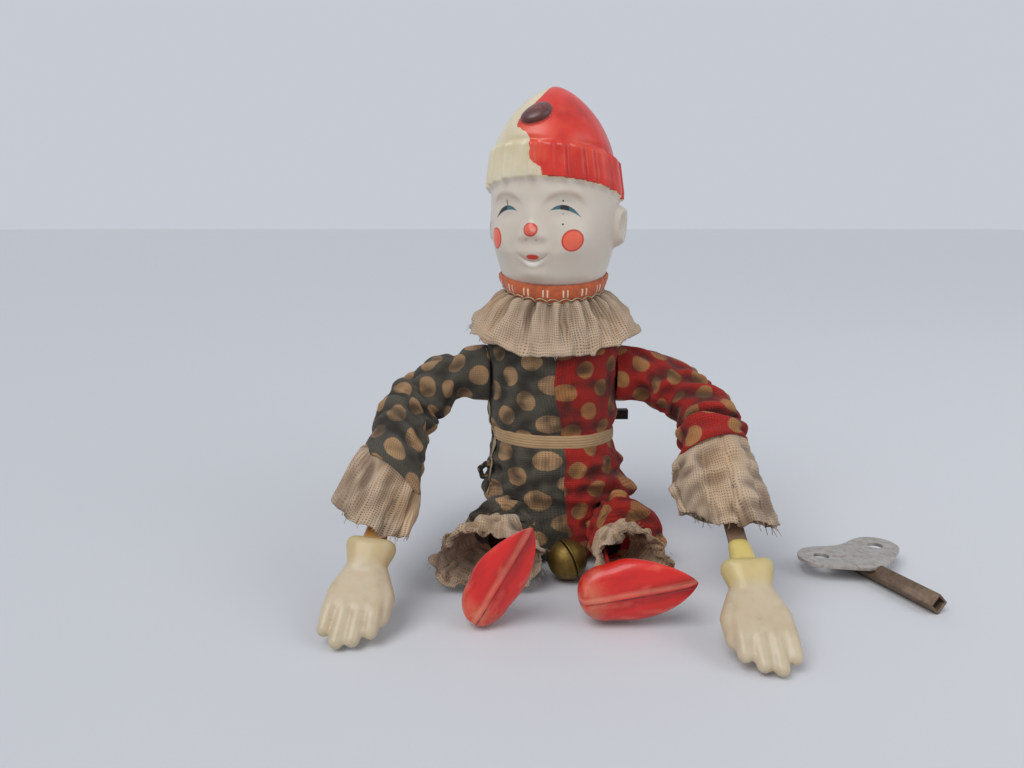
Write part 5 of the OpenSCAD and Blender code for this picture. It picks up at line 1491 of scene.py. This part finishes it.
# %% Slippers
def shoe_finish(which, ankle_x, toe_turn):
    finish = Finish("shoe_" + which, (218, 26, 14), 0.36, Subsurface_Weight=0.04, Coat_Weight=0.3)
    x, y, z = finish.place()
    c, s = cos_sin(toe_turn)
    toe = (x - ankle_x * MM) * s + (z - HIP[1] * MM) * c
    side = (x - ankle_x * MM) * c - (z - HIP[1] * MM) * s
    long = (side, toe * 0.35, y)
    finish.over((160, 10, 6), (finish.grain(long, 4.5, 4) * 3.0 - 1.2).held(0.9))
    finish.over((236, 112, 86), (finish.grain(long, 3.2, 4) * 3.4 - 1.85).held(0.8))
    heel = (toe + finish.noise(5, 3) * (9 * MM)).within(1.5 * MM, 3 * MM)
    finish.over((206, 128, 92), heel * (finish.noise(5, 5, rough=0.68) * 3.0 - 1.1).held(0.9))
    seam = near(side, 0.5 * MM, 0.16 * MM, 0.14 * MM) * y.within((ANKLE_Y - 5) * MM, 1 * MM)
    finish.over((64, 16, 12), seam * (finish.noise(3.5, 3) * 3.0 - 0.9).held(0.9))
    # Rubbed pale beside the seam, with a painted highlight along it
    rub_and_highlight = near(side, -0.5 * MM, 0.5 * MM, 0.5 * MM) * y.within((ANKLE_Y - 5) * MM, 1 * MM)
    finish.over((232, 150, 120), rub_and_highlight * finish.noise(6, 4) * 0.8)
    upper = (y * -1 + finish.noise(4, 3) * MM).within(-(ANKLE_Y - 1.7) * MM, 0.5 * MM)
    finish.over((222, 192, 138), upper)
    finish.rough(finish.noise(3, 4), 0.3, 0.52)
    finish.bump(finish.noise(1.8, 4), 0.12, 0.6)
    return finish.material


def slipper(which):
    ankle_x, toe_turn, slim = ANKLES[which]
    piece, spot = ball_mesh("shoe_" + which, 112, 96)
    s = 0.5 - 0.5 * np.cos(math.pi * spot[:, 1])
    x, y, z = shoe_shape(s, TAU * spot[:, 0], slim)
    c, n = cos_sin(toe_turn)
    put(piece, ankle_x - x * c + y * n, ANKLE_Y + z, HIP[1] + x * n + y * c)
    apply(piece, "SMOOTH", factor=0.5, iterations=2)
    in_edit(piece, face_out)
    finish_piece(piece, "shoe_%s_celluloid" % which, which + "_foot",
                 shoe_finish(which, ankle_x, toe_turn), ("shoe_" + which,))


slipper("left")
slipper("right")

# %% [markdown]
# The movement, the strips and the neck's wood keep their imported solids, which have the right shape
# already. Each gets a finish with its own wear: brass that has gone brown, steel with a bloom of rust,
# paint that is worn through in spots.

# %% Metal finishes
def worn_metal(name, colour, dark, spots, rough, metal=0.9):
    finish = Finish(name, colour, rough, metal)
    finish.over(dark, finish.noise(5, 5, rough=0.65))
    finish.over(spots, finish.noise(1.6, 5, rough=0.7) ** 4.0 * 3.0)
    finish.rough(finish.noise(3, 4), rough - 0.1, rough + 0.2)
    finish.bump(finish.noise(0.8, 4), 0.05, 0.6)
    return finish.material


steel = worn_metal("key_steel", (214, 210, 205), (188, 182, 174), (136, 106, 78), 0.42)
brown_steel = worn_metal("key_shank_steel", (158, 140, 122), (104, 80, 62), (74, 52, 38), 0.45)
black_steel = worn_metal("black_steel", (46, 44, 44), (26, 25, 26), (74, 52, 36), 0.5)
bell_brass = worn_metal("bell_brass", (152, 124, 62), (96, 76, 38), (66, 52, 34), 0.4)
wheel_brass = worn_metal("wheel_brass", (196, 160, 84), (150, 116, 58), (110, 84, 44), 0.35)
tin = worn_metal("tin_plate", (104, 102, 98), (76, 73, 69), (76, 56, 40), 0.65, 0.5)
strip_tan = worn_metal("painted_strip", (158, 130, 106), (120, 92, 72), (92, 66, 46), 0.55, 0.1)
strip_red = worn_metal("red_strip", (186, 28, 20), (130, 16, 12), (90, 40, 28), 0.5, 0.1)
wood = worn_metal("neck_wood", (176, 140, 96), (140, 104, 66), (110, 80, 50), 0.7, 0.0)
FINISHES = {
    black_steel: ["winding_arbor", "bell_staple", "hip_wire", "mainspring", "click_spring", "ratchet_wheel"],
    bell_brass: ["bell_pellet"],
    wheel_brass: ["arm_pinion", "great_wheel", "second_pinion", "second_wheel", "escape_pinion",
                  "escape_wheel", "verge"],
    strip_tan: ["arm_strip_left", "arm_strip_right"],
    strip_red: ["leg_strip_left", "leg_strip_right"],
    wood: ["neck_bush", "neck_spigot"],
    tin: ["casing_front", "casing_back", "side_plate_left", "side_plate_right", "plate_pillars", "arm_axle",
          "second_arbor", "escape_arbor", "verge_arbor"],
}
for finish, names in FINISHES.items():
    for name in names:
        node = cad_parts[name]
        node.data.materials.clear()
        node.data.materials.append(finish)
print("finished solids:", sum(map(len, FINISHES.values())))

# %% [markdown]
# The bell is spun from two thin cups, closed over a loose pellet. What shows of it is a dark line where
# the cups meet, bowed over the front. It is a ball with that line pressed in, and a wire loop behind it
# for the staple.

# %% Bell
BELL_R, LOOP_Y, LOOP_R, LOOP_WIRE = 5.5, -20.6, 1.45, 0.3
SEAM_WAY = np.array([0.88, 0.36, 0.3]) / np.linalg.norm([0.88, 0.36, 0.3])
ball, _ = ball_mesh("bell", 176, 132)
raw = points(ball)
off = raw @ SEAM_WAY * BELL_R
swell = 0.22 * np.exp(-((np.abs(off) - 0.5) / 0.35) ** 2) - 0.3 * np.exp(-(off / 0.2) ** 2)
set_points(ball, (np.array(BELL) + raw * (BELL_R + swell)[:, None]) * MM)
wire = add(bpy.ops.mesh.primitive_torus_add, major_segments=40, minor_segments=12, major_radius=LOOP_R * MM,
           minor_radius=LOOP_WIRE * MM, location=(BELL[0] * MM, LOOP_Y * MM, BELL[2] * MM),
           rotation=(0, math.pi / 2, 0))
bell = join("bell", [ball, wire])
bell_finish = Finish("bell_shell", (150, 122, 58), 0.42, 0.85)
bell_finish.over((96, 78, 40), bell_finish.noise(4, 5, rough=0.65))
bell_finish.over((70, 58, 38), bell_finish.noise(1.5, 5, rough=0.7) ** 4.0 * 3.0)
x, y, z = bell_finish.place()
line = x * SEAM_WAY[0] + y * SEAM_WAY[1] + z * SEAM_WAY[2] - float(np.array(BELL) @ SEAM_WAY) * MM
bell_finish.over((24, 18, 12), near(line, 0, 0.2 * MM, 0.12 * MM))
bell_finish.rough(bell_finish.noise(3, 4), 0.34, 0.6)
bell_finish.bump(bell_finish.noise(0.8, 4), 0.05, 0.6)
finish_piece(bell, "bell_shell", "bell", bell_finish.material, ("bell_upper", "bell_lower"))

# %% [markdown]
# The key lies beside the toy: a heart-shaped steel plate with two holes, on a square tube. The plate was
# stamped from sheet. Here it is a filled circle drawn out to the heart's outline and extruded, and the
# holes are cut by booleans. It is built at the origin and then laid in its place.

# %% Key plate
KEY_AT, KEY_TURN, HOLE_X, HOLE_R, LOBE_R, DIP = (84.5, -19.2), 22, 10.0, 2.1, 6.4, 2.0
NECK_W, NECK_Y, PLATE_LOW, PLATE_T = 3.0, -11.5, 4.2, 1.1


def heart_outline():
    to_neck = np.array([NECK_W - HOLE_X, NECK_Y])
    touch = math.atan2(to_neck[1], to_neck[0]) + math.acos(LOBE_R / np.linalg.norm(to_neck))
    far = np.linspace(0, HOLE_X, 16, endpoint=False)
    top = np.stack([far, LOBE_R - DIP * (1 + np.cos(math.pi * far / HOLE_X)) / 2], 1)
    turn = np.linspace(math.pi / 2, touch, 40)
    lobe = np.stack([HOLE_X + LOBE_R * np.cos(turn), LOBE_R * np.sin(turn)], 1)
    half = np.concatenate([top, lobe, [[NECK_W, NECK_Y]]])
    return np.concatenate([half, half[:0:-1] * [-1, 1]])


def cut_out(piece, tool):
    apply(piece, "BOOLEAN", operation="DIFFERENCE", solver="EXACT", object=tool)
    bpy.data.objects.remove(tool)


def lay_key(piece, name, finish, node):
    raw = points(piece)
    c, s = cos_sin(KEY_TURN)
    set_points(piece, np.stack([KEY_AT[0] * MM + raw[:, 0] * c - raw[:, 1] * s,
                                KEY_AT[1] * MM + raw[:, 0] * s + raw[:, 1] * c, raw[:, 2]], 1))
    in_edit(piece, weld, face_out)
    apply(piece, "BEVEL", width=0.16 * MM, segments=2, limit_method="ANGLE", angle_limit=math.radians(40))
    finish_piece(piece, name, "key", finish, (node,))
    bpy.ops.object.shade_smooth_by_angle(angle=math.radians(35))


outline = heart_outline()
plate = add(bpy.ops.mesh.primitive_circle_add, vertices=len(outline), radius=1, fill_type="NGON")
put(plate, outline[:, 0], outline[:, 1], np.full(len(outline), PLATE_LOW))
rise = {"value": (0, 0, PLATE_T * MM)}
in_edit(plate, lambda: bpy.ops.mesh.extrude_region_move(TRANSFORM_OT_translate=rise))
for side in (-1, 1):
    cut_out(plate, add(bpy.ops.mesh.primitive_cylinder_add, vertices=48, radius=HOLE_R * MM, depth=0.02,
                       location=(side * HOLE_X * MM, 0, PLATE_LOW * MM)))
lay_key(plate, "key_plate", steel, "key_wing")

# %% [markdown]
# The tube was folded from a strip of steel round a square former, so its edges are round, and it has
# browned with rust. It is a cylinder drawn in to a square that stands on its edge. A turned cube cuts the
# socket that fits over the winding square, and under the plate the tube is pressed flat.

# %% Key tube
KEY_MID, TUBE_BACK, TUBE_END, SOCKET_W, FOLD_T = 2.8, 2.0, -30.5, 3.0, 0.6
tube = add(bpy.ops.mesh.primitive_cylinder_add, vertices=64, radius=1, depth=1)
raw = points(tube)
turn = np.arctan2(raw[:, 1], raw[:, 0])
flat_side = np.maximum(np.abs(np.cos(turn - math.pi / 4)), np.abs(np.sin(turn - math.pi / 4)))
r = np.minimum(KEY_MID, (SOCKET_W / 2 + FOLD_T) / flat_side)
put(tube, r * np.cos(turn), np.where(raw[:, 2] > 0, TUBE_BACK, TUBE_END), KEY_MID + r * np.sin(turn))
rings = [(0, (NECK_Y + past) * MM, 0) for past in (-0.1, 0.5)]
in_edit(tube, face_out, lambda: slice_mesh((0, 1, 0), *rings))
cut_out(tube, add(bpy.ops.mesh.primitive_cube_add, size=1, scale=(SOCKET_W * MM, 0.024, SOCKET_W * MM),
                  rotation=(0, math.pi / 4, 0), location=(0, TUBE_END * MM, KEY_MID * MM)))
raw = points(tube)
under = raw[:, 1] > (NECK_Y + 0.2) * MM
raw[under, 2] = np.minimum(raw[under, 2], PLATE_LOW * MM)
set_points(tube, raw)
lay_key(tube, "key_tube", brown_steel, "key_shank")

# %% [markdown]
# The floor is plain and pale. Two large soft lamps and an even sky light the toy at a plain level. The
# sky is brighter where it is seen than where it only lights, so that the background is pale while the
# lamps still shape the folds.

# %% Stage and light
floor_finish = Finish("floor", (216, 218, 222), 0.9)
floor = add(bpy.ops.mesh.primitive_plane_add, size=12, location=(0, 4, 0))
floor.name = "floor"
floor.data.materials.append(floor_finish.material)


def lamp(kind, location, energy):
    """A lamp that looks at the middle of the toy."""
    made = add(bpy.ops.object.light_add, type=kind, location=location)
    made.data.energy = energy
    way = np.array((0, 0, 0.06)) - np.array(made.location)
    lean = math.atan2(math.hypot(way[0], way[1]), -way[2])
    made.rotation_euler = (lean, 0, math.atan2(way[1], way[0]) - math.pi / 2)
    return made


lamp("SUN", (-0.5, -0.6, 1.0), 1.5).data.angle = math.radians(40)
lamp("AREA", (0.6, -0.4, 0.5), 1.4).data.size = 0.6
SKY = (219, 224, 233)
world = bpy.data.worlds.new("sky")
bpy.context.scene.world = world
world.use_nodes = True
sky = world.node_tree.nodes["Background"]
sky.inputs["Color"].default_value = paint(*SKY)
ray = world.node_tree.nodes.new("ShaderNodeLightPath")
seen, glossy, through = [Field(world.node_tree, ray.outputs["Is %s Ray" % kind])
                         for kind in ("Camera", "Glossy", "Transmission")]
seen = seen.most(glossy).most(through)
world.node_tree.links.new((seen * 0.3 + 0.5).socket, sky.inputs["Strength"])
bpy.context.scene.view_settings.view_transform = "Standard"
print("stage set")
